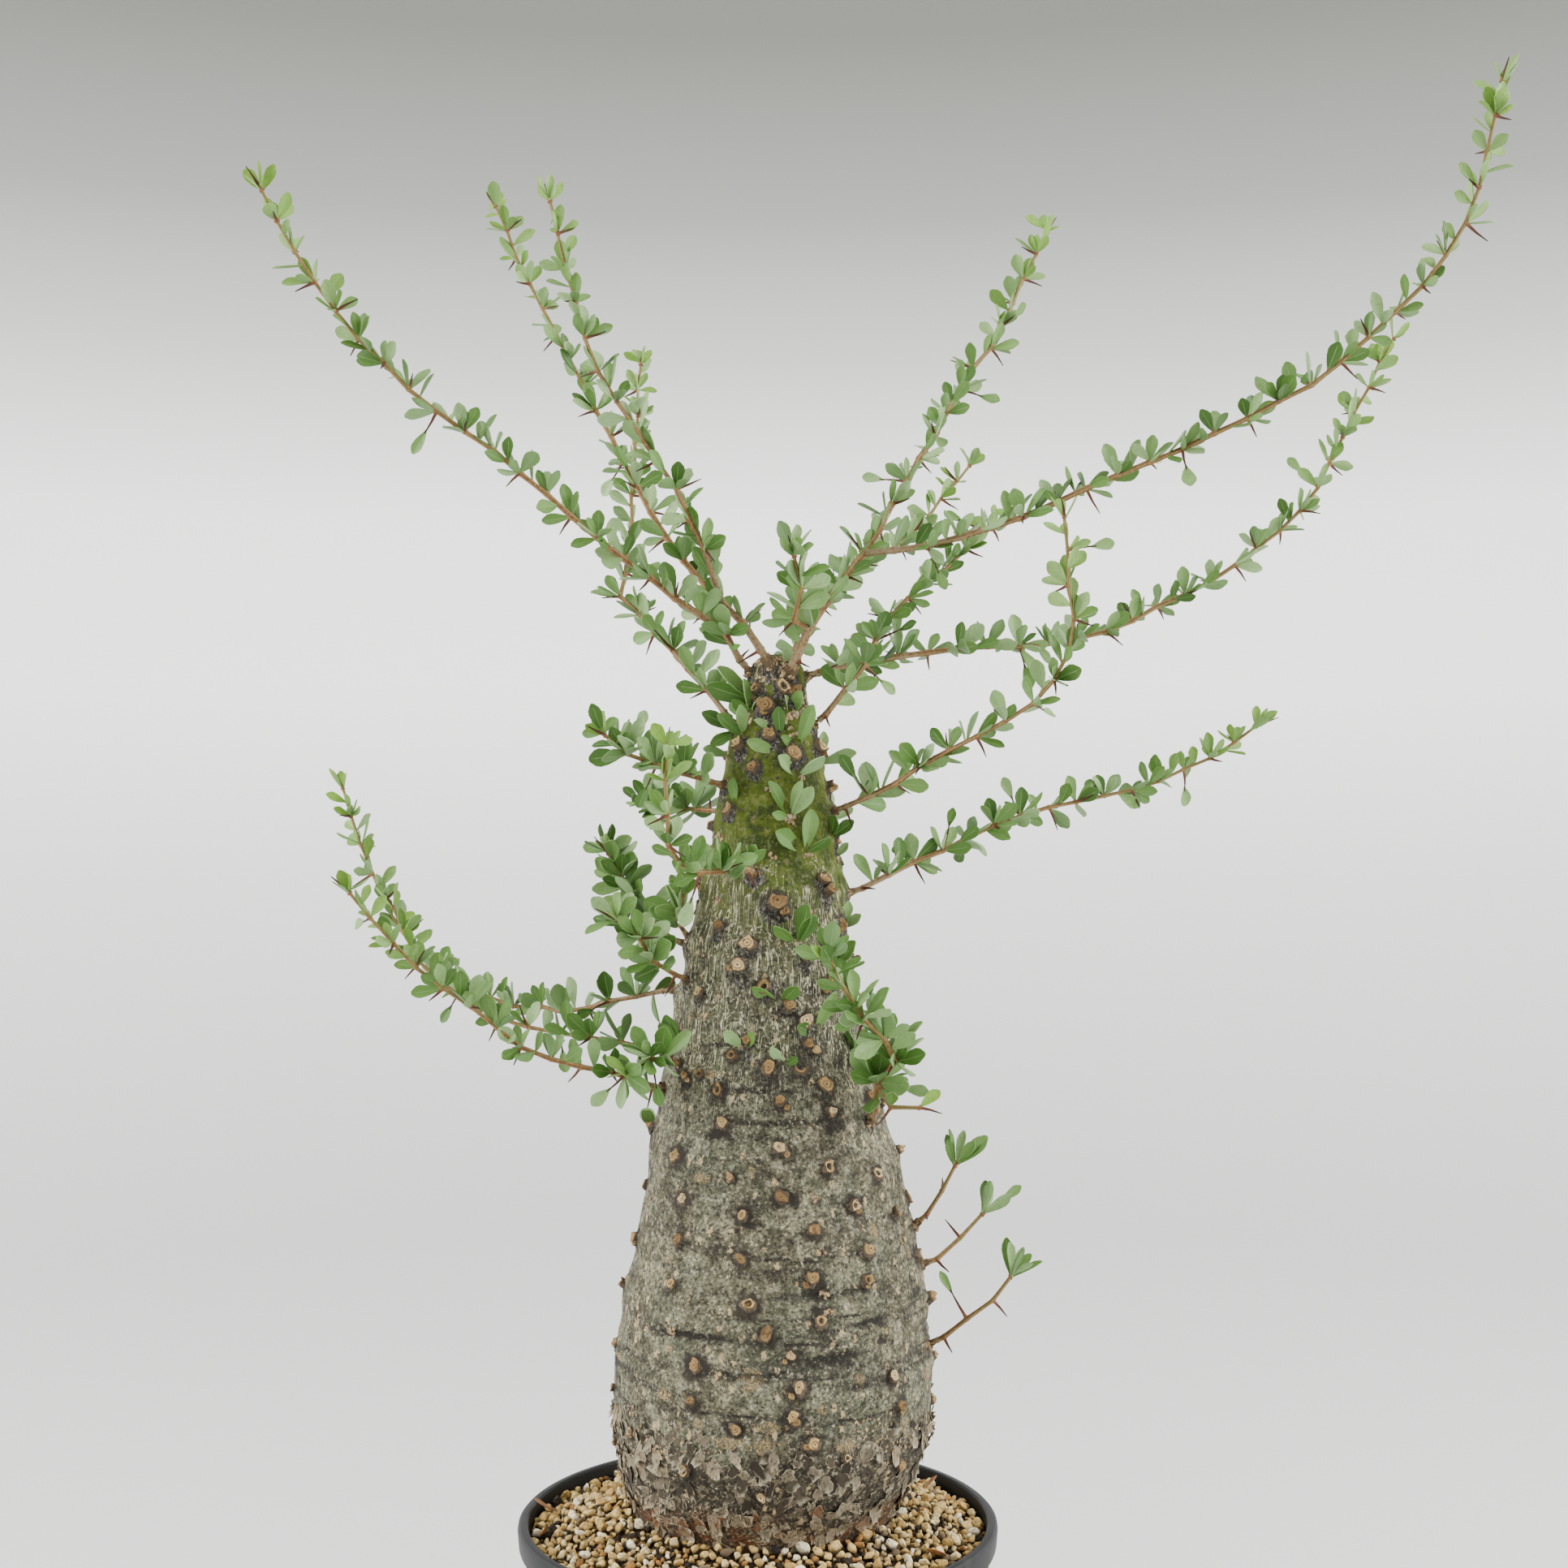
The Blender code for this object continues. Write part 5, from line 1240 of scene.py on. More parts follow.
def mesh_of(name, point_groups, face_groups, attributes):
    """One mesh object from many groups of points and faces, with attributes given for all points in turn."""
    faces, start = [], 0
    for points, group in zip(point_groups, face_groups):
        faces.extend(tuple(index + start for index in face) for face in group)
        start += len(points)
    mesh = bpy.data.meshes.new(name)
    mesh.from_pydata(np.concatenate(point_groups).tolist(), [], faces)
    for label, values in attributes.items():
        layer = mesh.attributes.new(label, "FLOAT_VECTOR", "POINT")
        layer.data.foreach_set("vector", np.asarray(values, dtype=np.float32).ravel())
    mesh.update()
    obj = bpy.data.objects.new(name, mesh)
    bpy.context.scene.collection.objects.link(obj)
    return obj


# %% [markdown]
# ## The pot
#
# A moulded pot is a turned shape: half its outline, spun once round the upright axis. The outline starts as a ring of
# points that are set in place, and the edge on the axis is deleted so that the spin closes there by itself.

# %% Spin the pot
POT_STEPS = 144
RIM_STEP = 0.003
WALL_SLOPE = (RIM_RADIUS - RIM_STEP - BASE_RADIUS) / (POT_HEIGHT - RIM_BAND)


def spun(outline, steps, name):
    """The solid that an outline of (radius, height) points makes when it is spun round the upright axis."""
    bpy.ops.mesh.primitive_circle_add(vertices=len(outline), radius=1.0)
    obj = bpy.context.object
    obj.name = name
    for vertex, (radius, height) in zip(obj.data.vertices, outline):
        vertex.co = (radius, 0.0, height)
    bpy.ops.object.mode_set(mode="EDIT")
    bm = bmesh.from_edit_mesh(obj.data)
    for edge in bm.edges:
        edge.select_set(all(abs(vertex.co.x) < 1e-9 for vertex in edge.verts))
    bmesh.update_edit_mesh(obj.data)
    bpy.ops.mesh.delete(type="EDGE")
    bpy.ops.mesh.select_all(action="SELECT")
    bpy.ops.mesh.spin(steps=steps, angle=math.tau, center=(0, 0, 0), axis=(0, 0, 1))
    bpy.ops.mesh.select_all(action="SELECT")
    bpy.ops.mesh.remove_doubles(threshold=0.00001)
    bpy.ops.mesh.normals_make_consistent(inside=False)
    bpy.ops.object.mode_set(mode="OBJECT")
    return obj


def inner_wall(height):
    """The radius of the pot's inside at a height."""
    return BASE_RADIUS + WALL_SLOPE * height - WALL


def make_pot():
    rim_in = RIM_RADIUS - LIP
    outline = [
        (0.0, 0.0), (PAD_RADIUS, 0.0), (PAD_RADIUS + 0.002, FLOOR_LIFT),
        (BASE_RADIUS - FOOT_WIDTH - 0.002, FLOOR_LIFT), (BASE_RADIUS - FOOT_WIDTH, 0.0),
        (BASE_RADIUS - 0.0022, 0.0), (BASE_RADIUS - 0.0006, 0.0006), (BASE_RADIUS, 0.0022),
        (RIM_RADIUS - 0.0034, POT_HEIGHT - RIM_BAND - 0.0010), (RIM_RADIUS - 0.0026, POT_HEIGHT - RIM_BAND),
        (RIM_RADIUS - 0.0010, POT_HEIGHT - RIM_BAND + 0.0010), (RIM_RADIUS - 0.0006, POT_HEIGHT - RIM_BAND + 0.0022),
        (RIM_RADIUS, POT_HEIGHT - 0.0034), (RIM_RADIUS - 0.0003, POT_HEIGHT - 0.0014),
        (RIM_RADIUS - 0.0012, POT_HEIGHT - 0.0004), (RIM_RADIUS - 0.0024, POT_HEIGHT),
        (rim_in + 0.0012, POT_HEIGHT - 0.0001), (rim_in + 0.0003, POT_HEIGHT - 0.0009),
        (rim_in, POT_HEIGHT - 0.0026), (inner_wall(SOIL_AT_WALL - 0.006), SOIL_AT_WALL - 0.006),
        (inner_wall(2 * FLOOR_LIFT), 2 * FLOOR_LIFT), (0.0, 2 * FLOOR_LIFT),
    ]
    pot = spun(outline, POT_STEPS, "nursery_pot")
    cutters = []
    for k in range(DRAIN_COUNT):
        middle = outward(360 * k / DRAIN_COUNT + 30) * DRAIN_CIRCLE
        bpy.ops.mesh.primitive_cylinder_add(vertices=32, radius=DRAIN_RADIUS, depth=0.04, location=middle)
        cutters.append(bpy.context.object)
    for k in range(NOTCH_COUNT):
        middle = outward(360 * k / NOTCH_COUNT + 45) * (BASE_RADIUS - FOOT_WIDTH / 2)
        turn = math.radians(360 * k / NOTCH_COUNT + 45)
        bpy.ops.mesh.primitive_cube_add(size=1.0, location=middle, rotation=(0, 0, turn))
        bpy.context.object.scale = (NOTCH_WIDTH, FOOT_WIDTH + 0.008, 0.004)
        cutters.append(bpy.context.object)
    for cutter in cutters:
        apply_all(cutter)
        cut = pot.modifiers.new("cut", "BOOLEAN")
        cut.operation = "DIFFERENCE"
        cut.object = cutter
        cut.solver = "EXACT"
    apply_all(pot)
    for cutter in cutters:
        bpy.data.objects.remove(cutter)
    return finish_piece(pot, "nursery_pot", POT_PLASTIC, ["pot"], 25)


make_pot()

# %% [markdown]
# ## Gravel
#
# The soil is a turned bed that rises towards the trunk. The stones are a few small lumps, each modelled once from
# an ico sphere that is cut flat on several sides, and then copied all over the bed at random sizes and turns. Two
# layers make the depth: small stones below, and larger ones above that hardly overlap.

# %% Soil bed
HEAP_POWER = 1.4
STONE_SINK = 0.0022


def bed_height(radius):
    """The height of the soil under the stones, at a distance from the pot's axis."""
    wall, trunk = inner_wall(SOIL_AT_WALL), smooth_between(TRUNK_STATIONS, SOIL_AT_TRUNK, 1)
    t = min(1.0, max(0.0, (wall - radius) / (wall - trunk)))
    return SOIL_AT_WALL + (SOIL_AT_TRUNK - SOIL_AT_WALL) * t**HEAP_POWER - STONE_SINK


def make_bed():
    wall_gap = 0.5 * MM
    outline = [(0.0, 2 * FLOOR_LIFT + wall_gap)]
    for height in (2 * FLOOR_LIFT + wall_gap, SOIL_AT_WALL - 0.008):
        outline.append((inner_wall(height) - wall_gap, height))
    wall = inner_wall(SOIL_AT_WALL) - wall_gap
    for k in range(17):
        radius = wall + (0.045 - wall) * k / 16
        outline.append((radius, bed_height(radius)))
    outline.append((0.040, TRUNK_STATIONS[0][0] - 0.002))
    outline.append((0.0, TRUNK_STATIONS[0][0] - 0.002))
    bed = spun(outline, 96, "soil_bed")
    for vertex in bed.data.vertices:
        if vertex.co.z > SOIL_AT_WALL - 0.004:
            vertex.co.z += 0.0016 * (noise.noise(vertex.co * 160) - 0.3)
    return finish_piece(bed, "soil_bed", SOIL, ["gravel"])


make_bed()

# %% Gravel stones
LARGE_STONES = 1750
SMALL_STONES = 1500
STONE_CUTS = 9


def stone_shapes(divisions, count):
    """A few different broken lumps of radius 1, each flattened on several sides."""
    shapes = []
    for k in range(count):
        chance = random.Random(f"stone {divisions} {k}")
        bpy.ops.mesh.primitive_ico_sphere_add(subdivisions=divisions, radius=1.0)
        lump = bpy.context.object
        for _ in range(STONE_CUTS):
            facing = Vector((chance.gauss(0, 1), chance.gauss(0, 1), chance.gauss(0, 1))).normalized()
            depth = chance.uniform(0.42, 0.78)
            for vertex in lump.data.vertices:
                vertex.co -= facing * max(0.0, vertex.co.dot(facing) - depth)
        bpy.ops.object.mode_set(mode="EDIT")
        bpy.ops.mesh.select_all(action="SELECT")
        bpy.ops.transform.resize(value=(1.38, 0.95 + 0.12 * (k % 3), 0.80 + 0.12 * (k % 2)))
        bpy.ops.object.mode_set(mode="OBJECT")
        shapes.append(taken_from(lump))
    return shapes


def random_turn(chance):
    """A turn of a shape to any attitude."""
    return Matrix.Rotation(chance.uniform(0, math.tau), 3, "Z") @ Matrix.Rotation(
        chance.uniform(0, math.tau), 3, "X") @ Matrix.Rotation(chance.uniform(0, math.tau), 3, "Y")


def scatter_stones(count, sizes, shapes, spacing, lift, light, seed):
    """Stones thrown on the bed one after another, each kept if it is far enough from those before it.

    The light is the share of it that reaches the tops of these stones.
    """
    chance = random.Random(seed)
    outer = inner_wall(SOIL_AT_WALL)
    placed, cells = [], {}
    tries = 0
    while len(placed) < count and tries < count * 30:
        tries += 1
        size = chance.uniform(*sizes)
        radius = math.sqrt(chance.uniform(0.060**2, (outer - size) ** 2))
        turn = chance.uniform(0, 360)
        place = outward(turn) * radius
        trunk_edge = smooth_between(TRUNK_STATIONS, SOIL_AT_TRUNK, 1) + 0.6 * size
        if (place - trunk_axis(SOIL_AT_TRUNK).to_2d().to_3d()).length < trunk_edge:
            continue
        cell = (round(place.x / 0.008), round(place.y / 0.008))
        around = [(cell[0] + i, cell[1] + j) for i in (-1, 0, 1) for j in (-1, 0, 1)]
        near = [other for key in around for other in cells.get(key, [])]
        if any((place - other).length < spacing * (size + other_size) for other, other_size in near):
            continue
        cells.setdefault(cell, []).append((place, size))
        placed.append((place + UP * (bed_height(radius) + lift * size), size))
    points, faces, marks = [], [], []
    for place, size in placed:
        shape, shape_faces = chance.choice(shapes)
        turned = shape @ np.array(random_turn(chance)).T
        points.append(turned * size + np.array(place))
        faces.append(shape_faces)
        height = turned[:, 2:3]
        marks.append(np.hstack([np.full_like(height, chance.random()), (height * 0.5 + 0.5) * light, height * 0]))
    return points, faces, marks


def make_stones():
    lower = scatter_stones(SMALL_STONES, (0.0012, 0.0022), stone_shapes(1, 3), 0.70, 0.10, 0.5, "lower stones")
    upper = scatter_stones(LARGE_STONES, (0.0014, 0.0034), stone_shapes(2, 6), 0.86, 0.95, 1.0, "upper stones")
    points, faces, marks = (low + high for low, high in zip(lower, upper))
    obj = mesh_of("gravel_stones", points, faces, {"stone_place": np.concatenate(marks)})
    return finish_piece(obj, "gravel_stones", PUMICE, angle=16)


make_stones()

# %% [markdown]
# ## Trunk
#
# The bark needs real relief, because its creases and knob collars break the outline. A flat grid of about 90,000
# faces is rolled into a tube, each point is set to its place on the trunk, and the seam is merged. Three noises
# push it in and out: broad lumps, upright grooves, and ridges in the cracked patches under the knobs. Creases run
# part of the way round.

# %% Knob places


def knob_places(stubs):
    """(place, out, size) of every knob: those in sight, then those of the spiral that keep clear of the others."""
    chance = random.Random("knobs")
    found = []
    for column, row in KNOBS_SEEN:
        place, out = on_trunk(*seen_on_trunk(column, row))
        found.append((place, out, chance.uniform(0.82, 1.38)))
    roots = [root for root, _, _ in stubs]
    for k in range(KNOB_COUNT):
        height = KNOB_FIRST + (KNOB_LAST - KNOB_FIRST) * k / (KNOB_COUNT - 1) + chance.uniform(-2, 2) * MM
        azimuth = (KNOB_TURN * k + chance.uniform(-5, 5) + 180) % 360 - 180
        place, out = on_trunk(azimuth, height)
        size = chance.uniform(0.75, 1.25)
        hidden = abs(azimuth) > 66 or place.z < 0.262
        if hidden and all((place - other).length > KNOB_ROOM for other in [known[0] for known in found] + roots):
            found.append((place, out, size))
    return [knob for knob in found if all((knob[0] - root).length > 0.006 for root in roots)]


stubs = [branch_stub(branch) for branch in BRANCHES.values()]
knobs = knob_places(stubs)
print(len(knobs), "knobs")

# %% Trunk
TRUNK_COLUMNS = 280
TRUNK_ROWS = 330
BURIED_ROWS = 10
VISIBLE_FROM = 0.199
CREASES = 30
COLLAR = 0.0060
UPPER_TRUNK = (0.40, 0.47)
# The sooty patches below are painted near-black: partly darker bark, partly painted shade in the pits sunk there.
SOOTY_SEEN = (  # dark patches in the front view: column, row, and half their width and height in mm
    (1030, 1677, 13.5, 3.4), (857, 1681, 6.8, 3.0), (904, 1761, 5.0, 3.0), (1014, 1618, 6.0, 4.5),
    (917, 1506, 7.0, 4.5), (1053, 1483, 4.5, 4.5), (1090, 1651, 4.5, 2.3), (1103, 1761, 2.6, 4.2),
    (793, 1761, 2.3, 5.3), (1075, 1629, 8.3, 2.0), (889, 1399, 10.0, 3.0), (1027, 1384, 7.5, 5.3),
    (846, 1645, 17.0, 1.8), (974, 1475, 6.0, 4.0), (842, 1342, 4.0, 6.0), (1004, 1590, 7.0, 6.0),
)
CORKY_SEEN = (  # tan patches, in the same way
    (864, 1451, 4.5, 2.6), (926, 1445, 1.5, 3.4), (926, 1700, 6.0, 5.5), (1012, 1737, 2.6, 2.6),
    (1060, 1702, 2.6, 3.8), (1075, 1517, 2.6, 5.3), (818, 1717, 4.2, 3.0), (861, 1756, 3.0, 3.0),
    (836, 1761, 1.9, 4.5), (946, 1759, 6.8, 3.0), (900, 1778, 8.3, 3.0), (941, 1782, 4.5, 3.8),
    (1118, 1756, 3.8, 3.8), (1043, 1782, 5.3, 3.8), (1085, 1780, 4.5, 3.4), (801, 1480, 1.2, 5.3),
    (877, 1325, 4.5, 2.3), (822, 1662, 3.0, 2.0), (1004, 1518, 4.5, 3.0), (890, 1672, 2.0, 1.6),
)
MARKS_BEHIND = 60
CREASES_SEEN = (  # column and row of the middle, half the length in degrees, and width in mm
    (850, 1645, 26, 1.4), (965, 1658, 28, 1.2), (1030, 1672, 20, 2.2), (1075, 1630, 14, 1.3), (790, 1705, 16, 1.4),
    (880, 1745, 34, 1.0), (930, 1342, 30, 2.0), (940, 1385, 36, 2.0), (990, 1250, 30, 1.8), (900, 1290, 24, 1.8),
    (1000, 1600, 22, 1.0), (1060, 1750, 20, 1.2), (950, 1700, 40, 1.0),
)


def crease_depth(height, azimuth, creases):
    """How deep a spot lies in the creases that run part of the way round, 0 to 1."""
    depth = np.zeros_like(height)
    for level, middle, reach, width, wander, phase in creases:
        a = np.radians(azimuth)
        line = level + wander * (np.sin(a * 3 + phase) + 0.4 * np.sin(a * 11 + phase * 2) + 0.3 * np.sin(a * 31))
        turn = (azimuth - middle + 180) % 360 - 180
        share = np.clip(1.3 - np.abs(turn) / reach, 0, 1)
        depth = np.maximum(depth, share * np.exp(-(((height - line) / width) ** 2)))
    return depth


def random_creases():
    chance = random.Random("creases")
    found = []
    for _ in range(CREASES):
        level = chance.choice((0.268, 0.283, 0.291, 0.299, 0.307, 0.314, 0.325, 0.345, 0.350, 0.37, 0.405, 0.43))
        found.append((level + chance.uniform(-3, 3) * MM, chance.uniform(-180, 180), chance.uniform(14, 55),
                      chance.uniform(0.7, 2.0) * MM, chance.uniform(0.8, 2.4) * MM, chance.uniform(0, 6)))
    for column, row, reach, width in CREASES_SEEN:
        azimuth, level = seen_on_trunk(column, row)
        found.append((level, azimuth, reach, width * MM, chance.uniform(0.6, 1.4) * MM, chance.uniform(0, 6)))
    return found


def knob_marks(place, height):
    """How near each spot is to a knob, how far a knob's collar lifts it, and the cracked patch that hangs below."""
    near, collar, hang = (np.zeros(len(height)) for _ in range(3))
    chance = random.Random("patches")
    upper = np.clip((height - UPPER_TRUNK[0]) / (UPPER_TRUNK[1] - UPPER_TRUNK[0]), 0, 1)
    for spot, _, size in knobs + [(root, None, 1.1) for root, _, _ in stubs]:
        offset = place - np.array(spot)
        level = offset[:, 2]
        aside = np.hypot(offset[:, 0], offset[:, 1])
        away = np.hypot(aside * chance.uniform(0.7, 1.0), level)
        # The halo's middle sits a little under each knob: the bark finish paints shade there, round and under the knob.
        halo = np.hypot(aside, level + 0.8 * MM) / (KNOB_RADIUS * size * chance.uniform(1.1, 1.9))
        near = np.maximum(near, np.clip(1.4 - halo, 0, 1))
        lift = (1.1 + 1.2 * upper) * MM * size
        collar = np.maximum(collar, lift * np.exp(-((away / (COLLAR * size * (0.8 + 0.4 * upper))) ** 2)))
        drop = chance.uniform(3.0, 6.0) * MM
        patch = 1.45 - np.hypot(aside / (4.4 * MM * size), (level + drop * 0.55) / (drop + 1.2 * MM))
        hang = np.maximum(hang, np.clip(patch, 0, 1) * upper)
    return near, collar, hang


def patch_marks(place, seen_patches, seed):
    """How deep each spot lies in a patch, 0 to 1: in those of the front view, and in others by chance behind."""
    chance = random.Random(seed)
    patches = [(*seen_on_trunk(column, row), width, height) for column, row, width, height in seen_patches]
    for _ in range(MARKS_BEHIND):
        spot = (chance.uniform(66, 294), chance.triangular(0.250, 0.43, 0.262))
        patches.append((*spot, chance.uniform(1.5, 8.0), chance.uniform(1.5, 4.5)))
    depth = np.zeros(len(place))
    for azimuth, level, width, height in patches:
        offset = place - np.array(on_trunk(azimuth, level)[0])
        away = np.hypot(np.hypot(offset[:, 0], offset[:, 1]) / width, offset[:, 2] / height) / MM
        depth = np.maximum(depth, np.clip(1.5 - away, 0, 1))
    return depth


def make_trunk():
    bpy.ops.mesh.primitive_grid_add(x_subdivisions=TRUNK_COLUMNS, y_subdivisions=TRUNK_ROWS, size=2.0)
    trunk = bpy.context.object
    flat = np.array([vertex.co[:] for vertex in trunk.data.vertices])
    low, high = TRUNK_STATIONS[0][0], TRUNK_STATIONS[-1][0]
    azimuth = flat[:, 0] * 180.0 + 180.0
    share = (flat[:, 1] + 1) / 2
    buried = BURIED_ROWS / TRUNK_ROWS
    height = np.interp(share, (0.0, buried, 1.0), (low, VISIBLE_FROM, high))
    levels = sorted(set(height.round(6)))
    plain = {level: smooth_between(TRUNK_STATIONS, level, 1) for level in levels}
    middle = {level: smooth_between(TRUNK_STATIONS, level, 2) for level in levels}
    radius = np.array([plain[level] for level in height.round(6)])
    centre = np.array([middle[level] for level in height.round(6)])

    a = np.radians(azimuth)
    waves, shown = relief(radius, height, azimuth)
    smooth = radius + waves
    place = np.stack([centre + smooth * np.sin(a), -smooth * np.cos(a), height], axis=1)

    crease = crease_depth(height, azimuth, random_creases()) * np.clip((height - 0.225) / 0.02, 0, 1)
    near, collar, hang = knob_marks(place, height)
    sooty = patch_marks(place, SOOTY_SEEN, "sooty patches")
    corky = patch_marks(place, CORKY_SEEN, "corky patches")
    rough = []
    for point, level, cracked in zip(place.tolist(), height.tolist(), hang.tolist()):
        spot = Vector(point)
        wood = noise.fractal(spot * 75, 0.8, 2.1, 4) * 0.38
        grooves = noise.noise(Vector((point[0] * 330, point[1] * 330, point[2] * 75)))
        flaking = min(1.0, max(0.0, (0.266 - level) / 0.02))
        ridges = noise.noise(Vector((point[0] * 560, point[1] * 560, point[2] * 300)))
        upright = 0.10 + 0.14 * min(1.0, max(0.0, (level - 0.36) / 0.06)) + 0.9 * flaking
        rough.append(MM * (wood + upright * grooves + 1.3 * cracked * ridges - 0.5 * flaking))
    pits = MM * shown * (1.0 * crease + 0.6 * sooty - 0.4 * corky)
    final = smooth + collar * shown + np.array(rough) * np.clip(shown + 0.15, 0, 1) - pits
    final = np.where(share > 0.999, radius * 0.6, final)
    place = np.stack([centre + final * np.sin(a), -final * np.cos(a), height], axis=1)
    trunk.data.vertices.foreach_set("co", place.ravel())
    layer = trunk.data.attributes.new("bark_place", "FLOAT_VECTOR", "POINT")
    layer.data.foreach_set("vector", np.stack([near, crease, hang], axis=1).astype(np.float32).ravel())
    layer = trunk.data.attributes.new("bark_marks", "FLOAT_VECTOR", "POINT")
    layer.data.foreach_set("vector", np.stack([sooty, corky, corky * 0], axis=1).astype(np.float32).ravel())

    bpy.ops.object.mode_set(mode="EDIT")
    bpy.ops.mesh.select_all(action="SELECT")
    bpy.ops.mesh.remove_doubles(threshold=0.00002)
    bpy.ops.mesh.select_all(action="DESELECT")
    bpy.ops.mesh.select_non_manifold()
    bpy.ops.mesh.edge_face_add()
    bpy.ops.mesh.select_all(action="SELECT")
    bpy.ops.mesh.normals_make_consistent(inside=False)
    bpy.ops.object.mode_set(mode="OBJECT")
    return finish_piece(trunk, "bark", BARK, ["trunk"], 60)


make_trunk()

# %% [markdown]
# Three knobs are modelled, as short pegs spun from half their outline: one with a groove round its face, one with a
# hollow heart and one broken to a blunt point. The copies differ in size, turn and a push of noise, and some have a
# smaller second one beside them. The stubs that carry the branches are longer copies of the first.

# %% Knobs and branch stubs
KNOB_OUTLINES = (
    ((0.0, 0.0), (1.30, 0.0), (1.02, 0.40), (1.0, 0.78), (0.82, 1.0), (0.60, 0.90), (0.34, 1.0), (0.0, 0.88)),
    ((0.0, 0.0), (1.35, 0.0), (1.05, 0.40), (0.98, 0.80), (0.80, 1.0), (0.58, 0.86), (0.42, 0.50), (0.0, 0.35)),
    ((0.0, 0.0), (1.40, 0.0), (1.08, 0.35), (0.84, 0.75), (0.66, 1.05), (0.40, 1.25), (0.18, 1.10), (0.0, 1.0)),
)
LOWER_KNOB = 0.84  # the size of a knob low on the trunk, against one near its top


def stand_on(out, chance):
    """A turn that stands a shape's z axis along out, spun by chance."""
    side, lift = frame_of(out)
    spin = chance.uniform(0, math.tau)
    first = side * math.cos(spin) + lift * math.sin(spin)
    return np.array([first[:], out.cross(first)[:], out[:]])


def stamped_peg(shape, base, out, radius, rise, shade, chance):
    """The points of a knob copied to base, and how far out, which shade and how near its foot each one is."""
    offset = Vector((chance.uniform(0, 99), chance.uniform(0, 99), 0))
    rough = np.array([noise.noise(Vector(p) * 1.6 + offset) for p in shape.tolist()])
    local = shape * (1 + 0.50 * rough[:, None]) * np.array([radius, radius * chance.uniform(0.68, 1.0), rise])
    radial = np.linalg.norm(shape[:, :2], axis=1)
    marks = np.stack([radial, np.full_like(radial, shade), 1 - np.clip(shape[:, 2] * 1.1, 0, 1)], axis=1)
    return local @ stand_on(out, chance) + np.array(base), marks


def make_knobs():
    shapes = [taken_from(spun(outline, 10, "knob")) for outline in KNOB_OUTLINES]
    chance = random.Random("knob copies")
    copies, faces = [], []
    for place, out, size in knobs:
        tilted = (out + 0.2 * UP + 0.2 * Vector((chance.uniform(-1, 1), chance.uniform(-1, 1), 0))).normalized()
        upper = min(1.0, max(0.0, (place.z - UPPER_TRUNK[0]) / (UPPER_TRUNK[1] - UPPER_TRUNK[0])))
        radius = KNOB_RADIUS * size * (LOWER_KNOB + (1 - LOWER_KNOB) * upper)
        rise = KNOB_RISE * (1.0 + 0.5 * upper) * chance.uniform(0.6, 1.15)
        shape, shape_faces = shapes[0] if chance.random() < upper * 0.8 else chance.choice(shapes)
        copies.append(stamped_peg(shape, place, tilted, radius, rise, chance.random(), chance))
        faces.append(shape_faces)
        if chance.random() < 0.4:
            side, _ = frame_of(out)
            beside = place + (side * chance.uniform(-1, 1) - UP * chance.uniform(0.2, 1.0)) * radius * 1.2
            shade = chance.uniform(0.0, 0.6)
            copies.append(stamped_peg(shapes[2][0], beside, tilted, radius * 0.6, rise * 0.8, shade, chance))
            faces.append(shapes[2][1])
    for branch, (root, direction, seat) in zip(BRANCHES.values(), stubs):
        radius, sink = branch["radii"][0] * MM * 1.35, 0.004
        length = (seat - root).length + sink - 0.2 * MM
        copies.append(stamped_peg(shapes[0][0], root - direction * sink, direction, radius, length, 0.35, chance))
        faces.append(shapes[0][1])
    points, marks = (list(group) for group in zip(*copies))
    obj = mesh_of("knobs", points, faces, {"knob_place": np.concatenate(marks)})
    return finish_piece(obj, "knobs", KNOB_WOOD, angle=45)


make_knobs()

# %% [markdown]
# ## Corky crusts and papery flakes
#
# Old bark breaks into scraps. Small corky lumps lie in clusters over the trunk, most of them at its crown and at
# the feet of the branches and tufts, and thin curled flakes stand off the foot of the trunk. Both are tiny shapes
# that are modelled once and copied in hundreds, each sunk or hinged in the bark so that none floats.

# %% Crusts
CRUSTS = (  # clusters, heights, lumps in each, spread and size in mm
    (64, (0.590, 0.629), 13, 2.6, 1.15),
    (60, (0.450, 0.592), 9, 1.8, 0.85),
    (30, (0.272, 0.450), 8, 1.8, 0.80),
    (40, (0.246, 0.266), 9, 5.0, 0.70),
)
SPRIG_CRUSTS = (13, 1.3, 1.0)  # lumps at each tuft's foot, their spread and size in mm
FOOT_CRUSTS = 24


def crust_shape():
    bpy.ops.mesh.primitive_ico_sphere_add(subdivisions=1, radius=1.0)
    lump = bpy.context.object
    for vertex in lump.data.vertices:
        vertex.co *= 1.0 + 0.5 * noise.noise(vertex.co * 2.1)
    return taken_from(lump)


def crust_cluster(azimuth, height, count, spread, size, chance):
    """(place, out, size) of the lumps that gather round one spot of the trunk."""
    degrees = math.degrees(spread * MM / trunk_radius(height, azimuth))
    found = []
    for _ in range(count):
        level = min(height + chance.gauss(0, spread) * MM * 0.7, 0.630)
        found.append((*on_trunk(azimuth + chance.gauss(0, degrees), level), size * MM))
    return found


